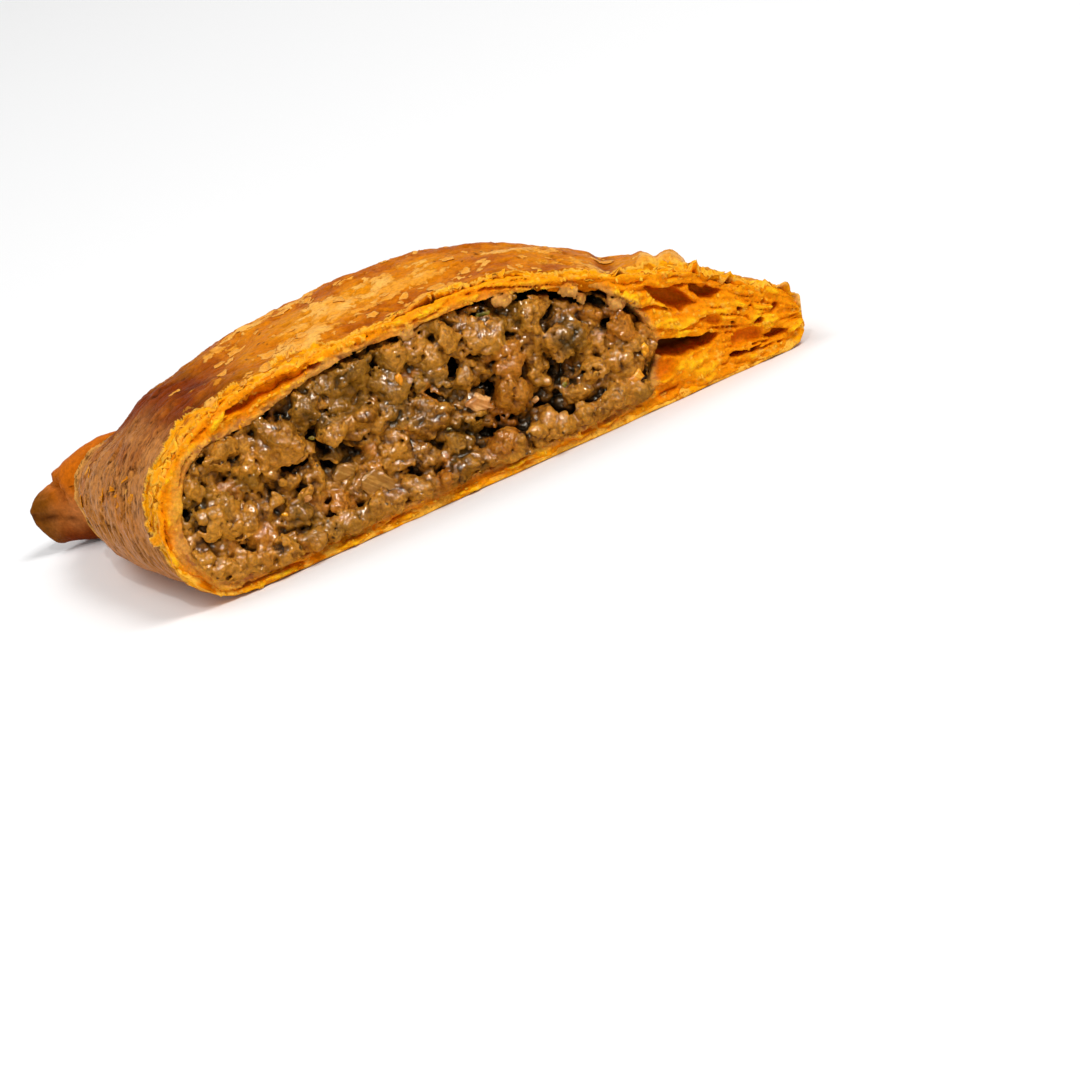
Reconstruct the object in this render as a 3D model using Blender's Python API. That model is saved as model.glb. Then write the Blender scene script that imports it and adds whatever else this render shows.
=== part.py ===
"""Half of a folded and crimped meat turnover, cut straight across so that its filling shows.

It is two solids: a pastry crust with a hollow that is open at the cut, and the minced filling that
runs through that hollow. The lengths below are millimetres; make_object turns them into metres.

Working frame: x runs across the cut from the folded side (0) to the crimped side (CUT_WIDTH),
y runs back from the cut, z runs up from the flat base. The finished part is centred in x and y.
"""

import math
import random

import bmesh
import bpy
from mathutils import Matrix, Vector, noise

METRES = 0.001

# Driving sizes
CUT_WIDTH = 92.0  # across the cut, from the fold to the crimped edge
HALF_LENGTH = 71.0  # from the cut back to the crimped edge
MIDDLE_Y = 35.7  # halfway from the foremost crumb to the tail's rounded end
HEIGHT = 25.7  # of the cut
DOME_RISE = 3.1  # the top is this much higher a little behind the cut
DOME_PLACE = (50.0, 25.0)  # x and y of that height
DOME_SPREAD = (27.0, 15.0)
BACK_FALL = 6.8  # the top is this much lower behind, on the folded side
BACK_FALL_START = 15.0
BACK_FALL_RUN = 40.0
BACK_FALL_WIDTH = 27.0
PLAN_POWER = 2.5  # how square the plan's crimped corner is: 2 is an ellipse
CLEARANCE = 0.3  # between the crust and the filling

# Folded side, a blunt round
FOLD_ROUND_TOP = 21.0  # how far in the top goes on rising
FOLD_ROUND_BASE = 9.0  # how far in the base starts to lie flat
FOLD_MIDDLE = 10.0  # height of the fold's furthest point at the cut
FOLD_BULGE = 3.6  # how far the fold swells beyond a straight line
FOLD_BULGE_END = 60.0  # where along y the swelling ends in a crease

# Pinched corner behind the fold, which points away from the body
TAIL_REACH = 8.5
TAIL_START = 61.0
TAIL_Y = 67.5
TAIL_MIDDLE = 6.6
TAIL_BULGE = 2.4  # how far its rounded end swells back
TAIL_LIFT = 2.0  # how far its top stands above the crimped edge's

# Crimped edge
EDGE_TOP = 8.6  # height of the top skin at the edge
EDGE_ROUND = 3.4
EDGE_MIDDLE = 4.0
SLOPE_AT_CUT = 46.0  # how far in from the edge the top goes on rising
SLOPE_AT_BACK = 34.0
SLOPE_POWER = 1.3
SHOULDER_LIFT = 1.6  # where the top layer springs up at the cut, over the pockets
SHOULDER_PLACE = 79.5
CRIMP_PITCH = 6.8  # from one fork mark to the next
CRIMP_INSET = 3.4  # from the edge in to the middle of a mark
CRIMP_SIZE = (1.8, 3.4, 1.6)  # half sizes of a mark: along the edge, across it, deep
CRIMP_TILT = 30.0  # degrees by which a mark follows the edge's upper corner down

# Crust walls at the cut
WALL_SIDE = 3.4
WALL_TOP = 2.3
WALL_TOP_EXTRA = 2.4  # the top crust is this much thicker over its shoulder
WALL_SHOULDER = (17.0, 8.0)  # where along x that is, and how wide
WALL_BASE = 2.5
CAVITY_WIDTH = 71.5  # x at which the hollow ends at the crimped side
CAVITY_LENGTH = 56.0
CAVITY_FOLD_END = 50.0
CAVITY_ROUND = 6.0
CAVITY_MIDDLE_FOLD = 10.0  # height of the hollow's furthest points
CAVITY_MIDDLE_EDGE = 10.5

# Layers that show on the cut rim: place from the outer (0) to the inner (1) line, and setback
RIM_RINGS = ((0.22, -0.5), (0.45, 1.1), (0.62, 0.2), (0.82, 0.7))
RIM_RAGGED = 0.45
SKIN_SETBACK = 1.6  # the browned skin breaks off this far behind the cut, over the top only

# Open pockets between the layers of the crimped end:
# x, z, half width, half height, tilt in degrees, depth
POCKETS = (
    (75.7, 13.5, 3.3, 1.35, -32.0, 5.0),
    (80.8, 12.2, 2.3, 0.85, -28.0, 4.0),
    (75.9, 6.8, 4.4, 1.1, -10.0, 6.0),
    (85.0, 2.7, 4.4, 0.5, 2.0, 4.0),
    (79.9, 8.9, 1.2, 0.5, -10.0, 2.5),
    (83.8, 8.2, 0.9, 0.5, -20.0, 2.5),
    (88.2, 6.2, 0.9, 0.6, 25.0, 2.5),
)

# Filling
FILLING_SETBACK = 2.2  # from the cut to the filling's core
LUMP_COUNT = 74
LUMP_RADII = (1.3, 3.3)
LUMP_PROUD = 0.6  # a lump may stand this far in front of the cut
LUMP_WOBBLE = 0.28

# Fineness
SECTION_TOP_STEPS = 26
SECTION_BASE_STEPS = 14
OUTER_STATIONS = 30
CAVITY_STATIONS = 12
LAST_ANGLE = 88.0  # degrees round the plan's corner at which the last section is taken


# ---------------------------------------------------------------- plan and heights


def quarter_round(distance, radius):
    """0 at the rim of a round, 1 from one radius in, with a quarter circle between."""
    rest = 1.0 - min(max(distance / radius, 0.0), 1.0)
    return math.sqrt(max(1.0 - rest * rest, 0.0))


def bell(value, width):
    return math.exp(-((value / width) ** 2))


def fold_x(y):
    """The folded side's line in plan: it swells, creases, and then runs out to the tail."""
    share = min(max(y / FOLD_BULGE_END, 0.0), 1.0)
    swell = -FOLD_BULGE * math.sin(math.pi * share**1.4)
    crease = 0.9 * bell(y - FOLD_BULGE_END, 2.4)
    run_out = min(max((y - TAIL_START) / (TAIL_Y - TAIL_START), 0.0), 1.0)
    return swell + crease - TAIL_REACH * run_out**0.8


def edge_distance(x, y):
    """How far a plan point lies in from the crimped edge, which is a superellipse."""
    across = max(x, 0.0) / CUT_WIDTH
    along = max(y, 0.0) / HALF_LENGTH
    total = across**PLAN_POWER + along**PLAN_POWER + 1e-9
    radius = total ** (1.0 / PLAN_POWER)
    scale = radius ** (1.0 - PLAN_POWER)
    slope = math.hypot(
        scale * across ** (PLAN_POWER - 1.0) / CUT_WIDTH,
        scale * along ** (PLAN_POWER - 1.0) / HALF_LENGTH,
    )
    return max((1.0 - radius) / max(slope, 1e-3), 0.0)


def edge_point(angle):
    """A point of the crimped edge, from 0 degrees at the cut to 90 at the tail."""
    turn = math.radians(angle)
    return (
        CUT_WIDTH * math.cos(turn) ** (2.0 / PLAN_POWER),
        HALF_LENGTH * math.sin(turn) ** (2.0 / PLAN_POWER),
    )


def tail_share(y):
    return min(max((y - FOLD_BULGE_END + 6.0) / 10.0, 0.0), 1.0)


def crust_heights(x, y):
    """Top and base height of the crust's outer skin at a plan point."""
    from_edge = edge_distance(x, y)
    from_fold = max(x - fold_x(y), 0.0)
    back = min(max(y / 50.0, 0.0), 1.0)
    slope_run = SLOPE_AT_CUT + (SLOPE_AT_BACK - SLOPE_AT_CUT) * back
    rise = math.sin(math.pi / 2.0 * min(from_edge / slope_run, 1.0)) ** SLOPE_POWER
    dome = DOME_RISE * bell(x - DOME_PLACE[0], DOME_SPREAD[0]) * bell(y - DOME_PLACE[1], DOME_SPREAD[1])
    fall = min(max((y - BACK_FALL_START) / BACK_FALL_RUN, 0.0), 1.0) ** 1.2
    full = HEIGHT + dome - BACK_FALL * fall * bell(x, BACK_FALL_WIDTH)
    skin = EDGE_TOP + (full - EDGE_TOP) * rise
    skin += SHOULDER_LIFT * bell(x - SHOULDER_PLACE, 6.0) * bell(y, 12.0)
    skin += TAIL_LIFT * tail_share(y) * bell(from_fold, 12.0)
    middle = FOLD_MIDDLE + (TAIL_MIDDLE - FOLD_MIDDLE) * tail_share(y)
    middle = min(middle, 0.6 * skin)
    shrink = min(max(skin / HEIGHT, 0.35), 1.0)
    top = middle + (skin - middle) * quarter_round(from_fold, FOLD_ROUND_TOP * shrink)
    crease = 1.3 * bell(y - FOLD_BULGE_END, 1.9) * bell(from_fold, 9.0)
    ripple = noise.noise(Vector((x / 14.0, y / 10.0, 3.1))) * 0.9
    ripple += noise.noise(Vector((x / 6.5, y / 5.0, 8.4))) * 0.55
    ripple *= quarter_round(from_edge, 12.0) * quarter_round(from_fold, 8.0)
    top += (ripple - crease) * quarter_round(y, 8.0)
    top = EDGE_MIDDLE + (top - EDGE_MIDDLE) * quarter_round(from_edge, EDGE_ROUND)
    base = middle * (1.0 - quarter_round(from_fold, FOLD_ROUND_BASE * shrink))
    base = max(base, EDGE_MIDDLE * (1.0 - quarter_round(from_edge, EDGE_ROUND)))
    return top, base


def cavity_heights(x, y, along_fold, from_edge):
    """Top and base height of the hollow, given the distances in from its own two sides."""
    top, _ = crust_heights(x, y)
    shoulder = WALL_TOP_EXTRA * bell(x - WALL_SHOULDER[0], WALL_SHOULDER[1])
    roof = top - WALL_TOP - shoulder
    middle_edge = min(CAVITY_MIDDLE_EDGE, (roof + WALL_BASE) / 2.0)
    middle_fold = min(CAVITY_MIDDLE_FOLD, (roof + WALL_BASE) / 2.0)
    floor = WALL_BASE
    edge_round = quarter_round(from_edge, CAVITY_ROUND)
    fold_round = quarter_round(along_fold, CAVITY_ROUND)
    roof = middle_edge + (roof - middle_edge) * edge_round
    floor = middle_edge + (floor - middle_edge) * edge_round
    roof = middle_fold + (roof - middle_fold) * fold_round
    floor = middle_fold + (floor - middle_fold) * fold_round
    return roof, floor


# ---------------------------------------------------------------- sections


def eased(steps):
    """Shares from 0 to 1, closer together at both ends."""
    return [(1.0 - math.cos(math.pi * i / steps)) / 2.0 for i in range(steps + 1)]


def outer_section(share):
    """One closed loop of the crust's outer skin, over the top from the fold and back below."""
    fold_y = TAIL_Y * share
    start = (fold_x(fold_y), fold_y)
    end = edge_point(LAST_ANGLE * share)

    def plan_point(along):
        return (
            start[0] + (end[0] - start[0]) * along,
            start[1] + (end[1] - start[1]) * along,
        )

    loop = []
    for along in eased(SECTION_TOP_STEPS):
        x, y = plan_point(along)
        loop.append(Vector((x, y, crust_heights(x, y)[0])))
    for along in reversed(eased(SECTION_BASE_STEPS)[1:-1]):
        x, y = plan_point(along)
        loop.append(Vector((x, y, crust_heights(x, y)[1])))
    return loop


def cavity_section(share, inset=0.0):
    """One closed loop of the hollow. An inset makes the same loop smaller all round."""
    fold_y = CAVITY_FOLD_END * share
    angle = LAST_ANGLE * share
    turn = math.radians(angle)
    start = (fold_x(fold_y) + WALL_SIDE + inset, fold_y * (1.0 - inset / 50.0))
    end = (
        (CAVITY_WIDTH - inset) * math.cos(turn) ** (2.0 / PLAN_POWER),
        (CAVITY_LENGTH - inset) * math.sin(turn) ** (2.0 / PLAN_POWER),
    )
    chord = math.dist(start, end)

    def point(along, over):
        x = start[0] + (end[0] - start[0]) * along
        y = start[1] + (end[1] - start[1]) * along
        roof, floor = cavity_heights(x, y, along * chord, (1.0 - along) * chord)
        tuck = inset * quarter_round(min(along, 1.0 - along) * chord, CAVITY_ROUND)
        return Vector((x, y, roof - tuck if over else floor + tuck))

    loop = [point(along, True) for along in eased(SECTION_TOP_STEPS)]
    loop += [point(along, False) for along in reversed(eased(SECTION_BASE_STEPS)[1:-1])]
    return loop


# ---------------------------------------------------------------- meshes


def add_loop(mesh, points):
    return [mesh.verts.new(point) for point in points]


def bridge(mesh, first, second):
    """A band of quads between two loops that have the same number of points."""
    count = len(first)
    for i in range(count):
        j = (i + 1) % count
        mesh.faces.new((first[i], first[j], second[j], second[i]))


def to_part_frame():
    """From the working frame in millimetres to the part's frame in metres."""
    middle_x = (CUT_WIDTH - TAIL_REACH) / 2.0
    return Matrix.Scale(METRES, 4) @ Matrix.Translation((-middle_x, -MIDDLE_Y, 0.0))


def make_object(name, mesh, material, smooth_angle=None):
    mesh.transform(to_part_frame())
    data = bpy.data.meshes.new(name)
    mesh.to_mesh(data)
    mesh.free()
    if smooth_angle is not None:
        data.shade_smooth()
        data.set_sharp_from_angle(angle=math.radians(smooth_angle))
    data.materials.append(material)
    thing = bpy.data.objects.new(name, data)
    bpy.context.scene.collection.objects.link(thing)
    return thing


def make_material(name, colour, roughness):
    material = bpy.data.materials.new(name)
    material.use_nodes = True
    shader = material.node_tree.nodes["Principled BSDF"]
    shader.inputs["Base Color"].default_value = (*colour, 1.0)
    shader.inputs["Roughness"].default_value = roughness
    material.diffuse_color = (*colour, 1.0)
    return material


def egg(half_sizes):
    """A stretched ball, for the inside of a pocket or of a fork mark."""
    ball = bmesh.new()
    bmesh.ops.create_icosphere(ball, subdivisions=2, radius=1.0)
    ball.transform(Matrix.Diagonal((*half_sizes, 1.0)))
    return ball


def crumb(radius, squash, seed):
    """An uneven lump of minced meat with few sides."""
    ball = bmesh.new()
    bmesh.ops.create_icosphere(ball, subdivisions=1, radius=radius)
    for vert in ball.verts:
        vert.co *= 1.0 + LUMP_WOBBLE * noise.noise(vert.co * 1.7 / radius + Vector((seed, 0.0, 0.0)))
    ball.transform(Matrix.Diagonal((*squash, 1.0)))
    return ball


# ---------------------------------------------------------------- crust


def rim_rings(outer, inner):
    """The loops across the cut rim, set forward and back as the layers of the pastry are."""
    rings = []
    for place, setback in RIM_RINGS:
        ring = []
        for i, (out, back) in enumerate(zip(outer, inner)):
            point = out.lerp(back, place)
            rough = noise.noise(Vector((point.x / 2.7, point.z / 2.7, place * 9.0)))
            point.y = setback * (0.6 + 0.4 * math.sin(i * 0.7)) + RIM_RAGGED * rough
            ring.append(point)
        rings.append(ring)
    return rings


def break_skin_back(loop):
    """Moves the top of the cut's outer line back, as a torn edge."""
    for point in loop:
        over = min(max((point.z - 6.0) / 6.0, 0.0), 1.0)
        torn = 0.55 + 0.9 * noise.noise(Vector((point.x / 6.0, point.z / 6.0, 5.3)))
        point.y += SKIN_SETBACK * over * max(torn, 0.0)


def rounded_end(loop):
    """Smaller and smaller loops that close the last section off with a rounded end."""
    middle = sum(loop, Vector()) / len(loop)
    across = loop[SECTION_TOP_STEPS] - loop[0]
    outward = Vector((-across.y, across.x, 0.0)).normalized()
    loops = []
    for degrees in (25.0, 48.0, 68.0):
        shrink = math.cos(math.radians(degrees))
        push = outward * TAIL_BULGE * math.sin(math.radians(degrees))
        loops.append([middle + (point - middle) * shrink + push for point in loop])
    return loops


def crust_mesh():
    mesh = bmesh.new()
    sections = [outer_section(i / OUTER_STATIONS) for i in range(OUTER_STATIONS + 1)]
    hollow = [cavity_section(i / CAVITY_STATIONS) for i in range(CAVITY_STATIONS + 1)]
    rings = rim_rings(sections[0], hollow[0])
    break_skin_back(sections[0])
    sections += rounded_end(sections[-1])
    chain = [add_loop(mesh, points) for points in reversed(sections)]
    chain += [add_loop(mesh, points) for points in rings]
    chain += [add_loop(mesh, points) for points in hollow]
    for first, second in zip(chain, chain[1:]):
        bridge(mesh, first, second)
    mesh.faces.new(chain[0])
    mesh.faces.new(chain[-1])
    bmesh.ops.recalc_face_normals(mesh, faces=mesh.faces)
    return mesh


def pocket_cutter(x, z, half_width, half_height, tilt, depth):
    ball = egg((half_width, depth, half_height))
    ball.transform(Matrix.Rotation(math.radians(-tilt), 4, "Y"))
    ball.transform(Matrix.Translation((x, -0.2, z)))
    return ball


def crimp_cutter(angle):
    """One fork mark: a dent on the edge's upper corner, turned to face across the edge."""
    here = Vector(edge_point(angle))
    ahead = Vector(edge_point(angle + 0.4))
    along = (ahead - here).normalized()
    inward = Vector((-along.y, along.x))
    place = here + inward * CRIMP_INSET
    top, _ = crust_heights(place.x, place.y)
    ball = egg(CRIMP_SIZE)
    ball.transform(Matrix.Rotation(math.radians(CRIMP_TILT), 4, "X"))
    ball.transform(Matrix.Rotation(math.atan2(along.y, along.x), 4, "Z"))
    ball.transform(Matrix.Translation((place.x, place.y, top + 0.3 * CRIMP_SIZE[2])))
    return ball


def crimp_angles():
    """Angles along the crimped edge that lie CRIMP_PITCH apart, clear of the cut and the tail."""
    angles = []
    travelled = CRIMP_PITCH * 0.3
    step = 0.25
    angle = step
    last = Vector(edge_point(0.0))
    while angle < 86.0:
        point = Vector(edge_point(angle))
        travelled += (point - last).length
        last = point
        if travelled >= CRIMP_PITCH:
            travelled -= CRIMP_PITCH
            angles.append(angle)
        angle += step
    return angles


def as_cutter(thing, collection):
    thing.hide_render = True
    thing.display_type = "WIRE"
    bpy.context.scene.collection.objects.unlink(thing)
    collection.objects.link(thing)


def make_crust():
    pastry = make_material("pastry", (0.62, 0.22, 0.012), 0.45)
    crust = make_object("crust", crust_mesh(), pastry, smooth_angle=35.0)
    cutters = bpy.data.collections.new("crust_cutters")
    bpy.context.scene.collection.children.link(cutters)
    for i, pocket in enumerate(POCKETS):
        cut = make_object(f"pocket_cutter_{i}", pocket_cutter(*pocket), pastry)
        as_cutter(cut, cutters)
    for i, angle in enumerate(crimp_angles()):
        cut = make_object(f"crimp_cutter_{i}", crimp_cutter(angle), pastry)
        as_cutter(cut, cutters)
    carve = crust.modifiers.new("carve", "BOOLEAN")
    carve.operation = "DIFFERENCE"
    carve.operand_type = "COLLECTION"
    carve.collection = cutters
    carve.solver = "EXACT"
    return crust


# ---------------------------------------------------------------- filling


def filling_core():
    mesh = bmesh.new()
    stations = CAVITY_STATIONS
    loops = [cavity_section(i / stations, CLEARANCE) for i in range(stations + 1)]
    for point in loops[0]:
        rough = noise.noise(Vector((point.x / 5.0, 0.0, point.z / 5.0)))
        point.y = FILLING_SETBACK + 0.7 * rough
    chain = [add_loop(mesh, points) for points in loops]
    for first, second in zip(chain, chain[1:]):
        bridge(mesh, first, second)
    mesh.faces.new(chain[0])
    mesh.faces.new(chain[-1])
    bmesh.ops.recalc_face_normals(mesh, faces=mesh.faces)
    return mesh


def inside_cut(x, z, margin):
    """True where a point of the cut lies in the hollow, this far from its walls."""
    along_fold = x - fold_x(0.0) - WALL_SIDE
    from_edge = CAVITY_WIDTH - x
    if min(along_fold, from_edge) <= margin:
        return False
    roof, floor = cavity_heights(x, 0.0, along_fold, from_edge)
    return floor + margin < z < roof - margin


def lump_places():
    """Crumbs of mince over the cut: the largest first, each clear of the walls."""
    draw = random.Random(41)
    places = []
    for i in range(LUMP_COUNT):
        share = i / (LUMP_COUNT - 1)
        radius = LUMP_RADII[1] + (LUMP_RADII[0] - LUMP_RADII[1]) * share**0.7
        for _ in range(400):
            x = draw.uniform(WALL_SIDE, CAVITY_WIDTH)
            z = draw.uniform(WALL_BASE, HEIGHT)
            if not inside_cut(x, z, radius * 1.3 + CLEARANCE):
                continue
            apart = [math.dist((x, z), (px, pz)) / (radius + pr) for px, pz, pr in places]
            if not apart or min(apart) > 0.62:
                places.append((x, z, radius))
                break
    return places


def make_filling():
    mince = make_material("mince", (0.25, 0.11, 0.03), 0.35)
    filling = make_object("filling", filling_core(), mince, smooth_angle=50.0)
    lumps = bpy.data.collections.new("lumps")
    bpy.context.scene.collection.children.link(lumps)
    draw = random.Random(7)
    for i, (x, z, radius) in enumerate(lump_places()):
        squash = [draw.uniform(0.82, 1.12) for _ in range(3)]
        ball = crumb(radius, squash, i * 3.7)
        ball.transform(Matrix.Rotation(draw.uniform(0.0, 6.28), 4, (0.3, 1.0, 0.2)))
        front = min(vert.co.y for vert in ball.verts)
        furthest = 1.6 * radius - FILLING_SETBACK - 1.0
        proud = min(draw.uniform(-1.3, LUMP_PROUD), furthest)
        ball.transform(Matrix.Translation((x, -proud - front, z)))
        lump = make_object(f"lump_{i}", ball, mince)
        bpy.context.scene.collection.objects.unlink(lump)
        lumps.objects.link(lump)
    fuse = filling.modifiers.new("fuse", "BOOLEAN")
    fuse.operation = "UNION"
    fuse.operand_type = "COLLECTION"
    fuse.collection = lumps
    fuse.solver = "EXACT"
    apply_modifiers(filling)
    for lump in list(lumps.objects):
        bpy.data.objects.remove(lump)
    bpy.data.collections.remove(lumps)
    return filling


def apply_modifiers(thing):
    """Bakes an object's modifiers into its mesh."""
    bpy.context.view_layer.update()
    graph = bpy.context.evaluated_depsgraph_get()
    baked = bpy.data.meshes.new_from_object(thing.evaluated_get(graph))
    thing.modifiers.clear()
    thing.data = baked


def main():
    for thing in list(bpy.data.objects):
        bpy.data.objects.remove(thing)
    make_crust()
    make_filling()


main()
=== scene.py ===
"""Half of a baked meat turnover, cut across: its browned skin, its layered cut and its mince.

Lengths are millimetres in the object's working frame: x across the cut from the folded side,
y back from the cut, z up from the base. to_part turns them into the part's frame in metres.
"""

import math  # noqa: E402
from types import SimpleNamespace  # noqa: E402

import bpy  # noqa: E402
import numpy as np  # noqa: E402
from mathutils import Matrix, Vector, noise  # noqa: E402


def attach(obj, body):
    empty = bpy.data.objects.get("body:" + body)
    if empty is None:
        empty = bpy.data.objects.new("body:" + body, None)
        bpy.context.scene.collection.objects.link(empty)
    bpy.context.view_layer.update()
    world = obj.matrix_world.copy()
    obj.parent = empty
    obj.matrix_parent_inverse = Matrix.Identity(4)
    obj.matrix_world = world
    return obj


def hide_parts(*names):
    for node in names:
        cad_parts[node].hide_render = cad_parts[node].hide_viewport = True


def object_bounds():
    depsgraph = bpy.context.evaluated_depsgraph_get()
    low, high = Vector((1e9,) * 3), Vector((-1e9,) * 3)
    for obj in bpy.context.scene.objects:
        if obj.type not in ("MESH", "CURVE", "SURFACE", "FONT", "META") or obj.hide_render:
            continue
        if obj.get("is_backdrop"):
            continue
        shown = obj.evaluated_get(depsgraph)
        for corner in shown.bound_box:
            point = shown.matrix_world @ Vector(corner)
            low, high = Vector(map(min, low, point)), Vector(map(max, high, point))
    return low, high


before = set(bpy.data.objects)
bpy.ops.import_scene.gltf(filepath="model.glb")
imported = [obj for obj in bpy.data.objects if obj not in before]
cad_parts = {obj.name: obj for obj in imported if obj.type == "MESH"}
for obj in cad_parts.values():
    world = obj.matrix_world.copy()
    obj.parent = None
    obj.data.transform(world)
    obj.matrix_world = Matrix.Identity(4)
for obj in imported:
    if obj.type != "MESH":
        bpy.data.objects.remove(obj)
cad_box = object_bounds()

# ---------------------------------------------------------------- the part's own sizes

CUT_WIDTH = 92.0
HALF_LENGTH = 71.0
MIDDLE_Y = 35.7
HEIGHT = 25.7
DOME_RISE = 3.1
DOME_PLACE = (50.0, 25.0)
DOME_SPREAD = (27.0, 15.0)
BACK_FALL = 6.8
BACK_FALL_START = 15.0
BACK_FALL_RUN = 40.0
BACK_FALL_WIDTH = 27.0
PLAN_POWER = 2.5
FOLD_ROUND_TOP = 21.0
FOLD_ROUND_BASE = 9.0
FOLD_MIDDLE = 10.0
FOLD_BULGE = 3.6
FOLD_BULGE_END = 60.0
TAIL_REACH = 8.5
TAIL_START = 61.0
TAIL_Y = 67.5
TAIL_MIDDLE = 6.6
TAIL_BULGE = 2.4
TAIL_LIFT = 2.0
EDGE_TOP = 8.6
EDGE_ROUND = 3.4
EDGE_MIDDLE = 4.0
SLOPE_AT_CUT = 46.0
SLOPE_AT_BACK = 34.0
SLOPE_POWER = 1.3
SHOULDER_LIFT = 1.6
SHOULDER_PLACE = 79.5
CRIMP_PITCH = 6.8
CRIMP_INSET = 3.4
WALL_SIDE = 3.4
WALL_TOP = 2.3
WALL_TOP_EXTRA = 2.4
WALL_SHOULDER = (17.0, 8.0)
WALL_BASE = 2.5
CAVITY_WIDTH = 71.5
CAVITY_TAPER = 0.02
CAVITY_ROUND = 6.0
CAVITY_MIDDLE_FOLD = 10.0
CAVITY_MIDDLE_EDGE = 10.5
LAST_ANGLE = 88.0
CRUST_OUTLINE_POINTS = 170
HOLLOW_OUTLINE_POINTS = 130
FLOOR_GAP = 0.02  # mm that the cut, the flakes and the crumbs keep above the base
METRES = 0.001
PART_ORIGIN = np.array(((CUT_WIDTH - TAIL_REACH) / 2.0, MIDDLE_Y, 0.0))

# ---------------------------------------------------------------- the photograph's camera

PHOTO_PIXELS = 1080.0
CAMERA_AZIMUTH = -11.0
CAMERA_ELEVATION = 15.0
CAMERA_ROLL = 21.59
CAMERA_DISTANCE = 600.0  # mm, to the anchor
SENSOR_WIDTH = 36.0
SIGHT = (0.01, 20.0)  # metres, nearest and furthest
ANCHOR = np.array((40.0, 0.0, 0.0))
ANCHOR_PIXEL = (467.16, 496.39)
PIXELS_PER_MM = 7.561  # at the anchor


# ---------------------------------------------------------------- small maths


def clip(value, low=0.0, high=1.0):
    return np.clip(value, low, high)


def smooth(low, high, value):
    share = clip((value - low) / (high - low))
    return share * share * (3.0 - 2.0 * share)


def bell(value, width):
    return np.exp(-((value / width) ** 2))


def quarter_round(distance, radius):
    rest = 1.0 - clip(distance / radius)
    return np.sqrt(clip(1.0 - rest * rest))


def unit(vectors):
    return vectors / np.maximum(np.linalg.norm(vectors, axis=-1, keepdims=True), 1e-9)


def srgb(red, green, blue):
    share = np.array((red, green, blue)) / 255.0
    return np.where(share <= 0.04045, share / 12.92, ((share + 0.055) / 1.055) ** 2.4)


def blend(first, second, share):
    """Mixes two colours, or two arrays of colours, by one share for each point."""
    return first + (second - first) * np.asarray(share)[..., None]


def painted(tone, *coats):
    """Lays colours over a tone one after another, each by its own share."""
    for colour, share in coats:
        tone = blend(tone, colour, clip(share))
    return tone


NOISE_TABLE = np.random.default_rng(3).uniform(-1.0, 1.0, (64, 64, 64)).astype(np.float32)
NOISE_ROW = NOISE_TABLE.ravel()


def ease(share):
    return share * share * share * (share * (share * 6.0 - 15.0) + 10.0)


def grain(x, y, z):
    """A smooth random field from -1 to 1, about one unit across, at single points."""
    spots, shares = [], []
    for value, stride in ((x, 4096), (y, 64), (z, 1)):
        base = np.floor(value)
        shares.append(ease(value - base))
        low = base.astype(np.int32) & 63
        spots.append((low * stride, ((low + 1) & 63) * stride))
    sides = []
    for first in spots[0]:
        lines = []
        for second in spots[1]:
            near = NOISE_ROW[first + second + spots[2][0]]
            far = NOISE_ROW[first + second + spots[2][1]]
            lines.append(near + (far - near) * shares[2])
        sides.append(lines[0] + (lines[1] - lines[0]) * shares[1])
    return sides[0] + (sides[1] - sides[0]) * shares[0]


def rough(x, y, z, size, octaves=4, seed=0.0):
    """Layered noise whose largest lumps are size mm across. About -0.7 to 0.7."""
    x, y, z = (np.asarray(value, dtype=np.float32) for value in (x, y, z))
    total, scale, weight = 0.0, 1.0 / size, 0.5
    for octave in range(octaves):
        shift = 17.3 * octave + seed * 5.71
        total = total + weight * grain(x * scale + shift, y * scale - shift, z * scale + 2 * shift)
        scale *= 2.03
        weight *= 0.5
    return total


def rough_grid(axes, size, octaves=2, seed=0.0):
    """The same layered noise over a whole grid, worked out one axis after another."""
    total, scale, weight = 0.0, 1.0 / size, 0.5
    for octave in range(octaves):
        shift = 17.3 * octave + seed * 5.71
        block = NOISE_TABLE
        for axis, (values, offset) in enumerate(zip(axes, (shift, -shift, 2.0 * shift))):
            place = values * scale + offset
            base = np.floor(place)
            low = base.astype(int) & 63
            shape = [1, 1, 1]
            shape[axis] = -1
            share = ease(place - base).astype(np.float32).reshape(shape)
            first = np.take(block, low, axis=axis)
            block = first + (np.take(block, (low + 1) & 63, axis=axis) - first) * share
        total = total + weight * block
        scale *= 2.03
        weight *= 0.5
    return total


def worley(x, y, z, size, seed):
    """Distance, in cells, to the nearest of points scattered size mm apart, and its number."""
    jitter = np.random.default_rng(seed).random((3, 32**3)).astype(np.float32) * 0.9 + 0.05
    spot = [np.asarray(value, dtype=np.float32) / np.float32(size) for value in (x, y, z)]
    cell = [np.floor(value).astype(np.int32) for value in spot]
    nearest = np.full(spot[0].shape, 9.0, dtype=np.float32)
    number = np.zeros(spot[0].shape, dtype=np.int32)
    for step in range(27):
        near = [cell[0] + (step % 3 - 1), cell[1] + (step // 3 % 3 - 1), cell[2] + (step // 9 - 1)]
        key = ((near[0] & 31) * 32 + (near[1] & 31)) * 32 + (near[2] & 31)
        away = 0.0
        for axis in range(3):
            away = away + (near[axis] + jitter[axis][key] - spot[axis]) ** 2
        closer = away < nearest
        nearest = np.where(closer, away, nearest)
        number = np.where(closer, key, number)
    return np.sqrt(nearest), number


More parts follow.
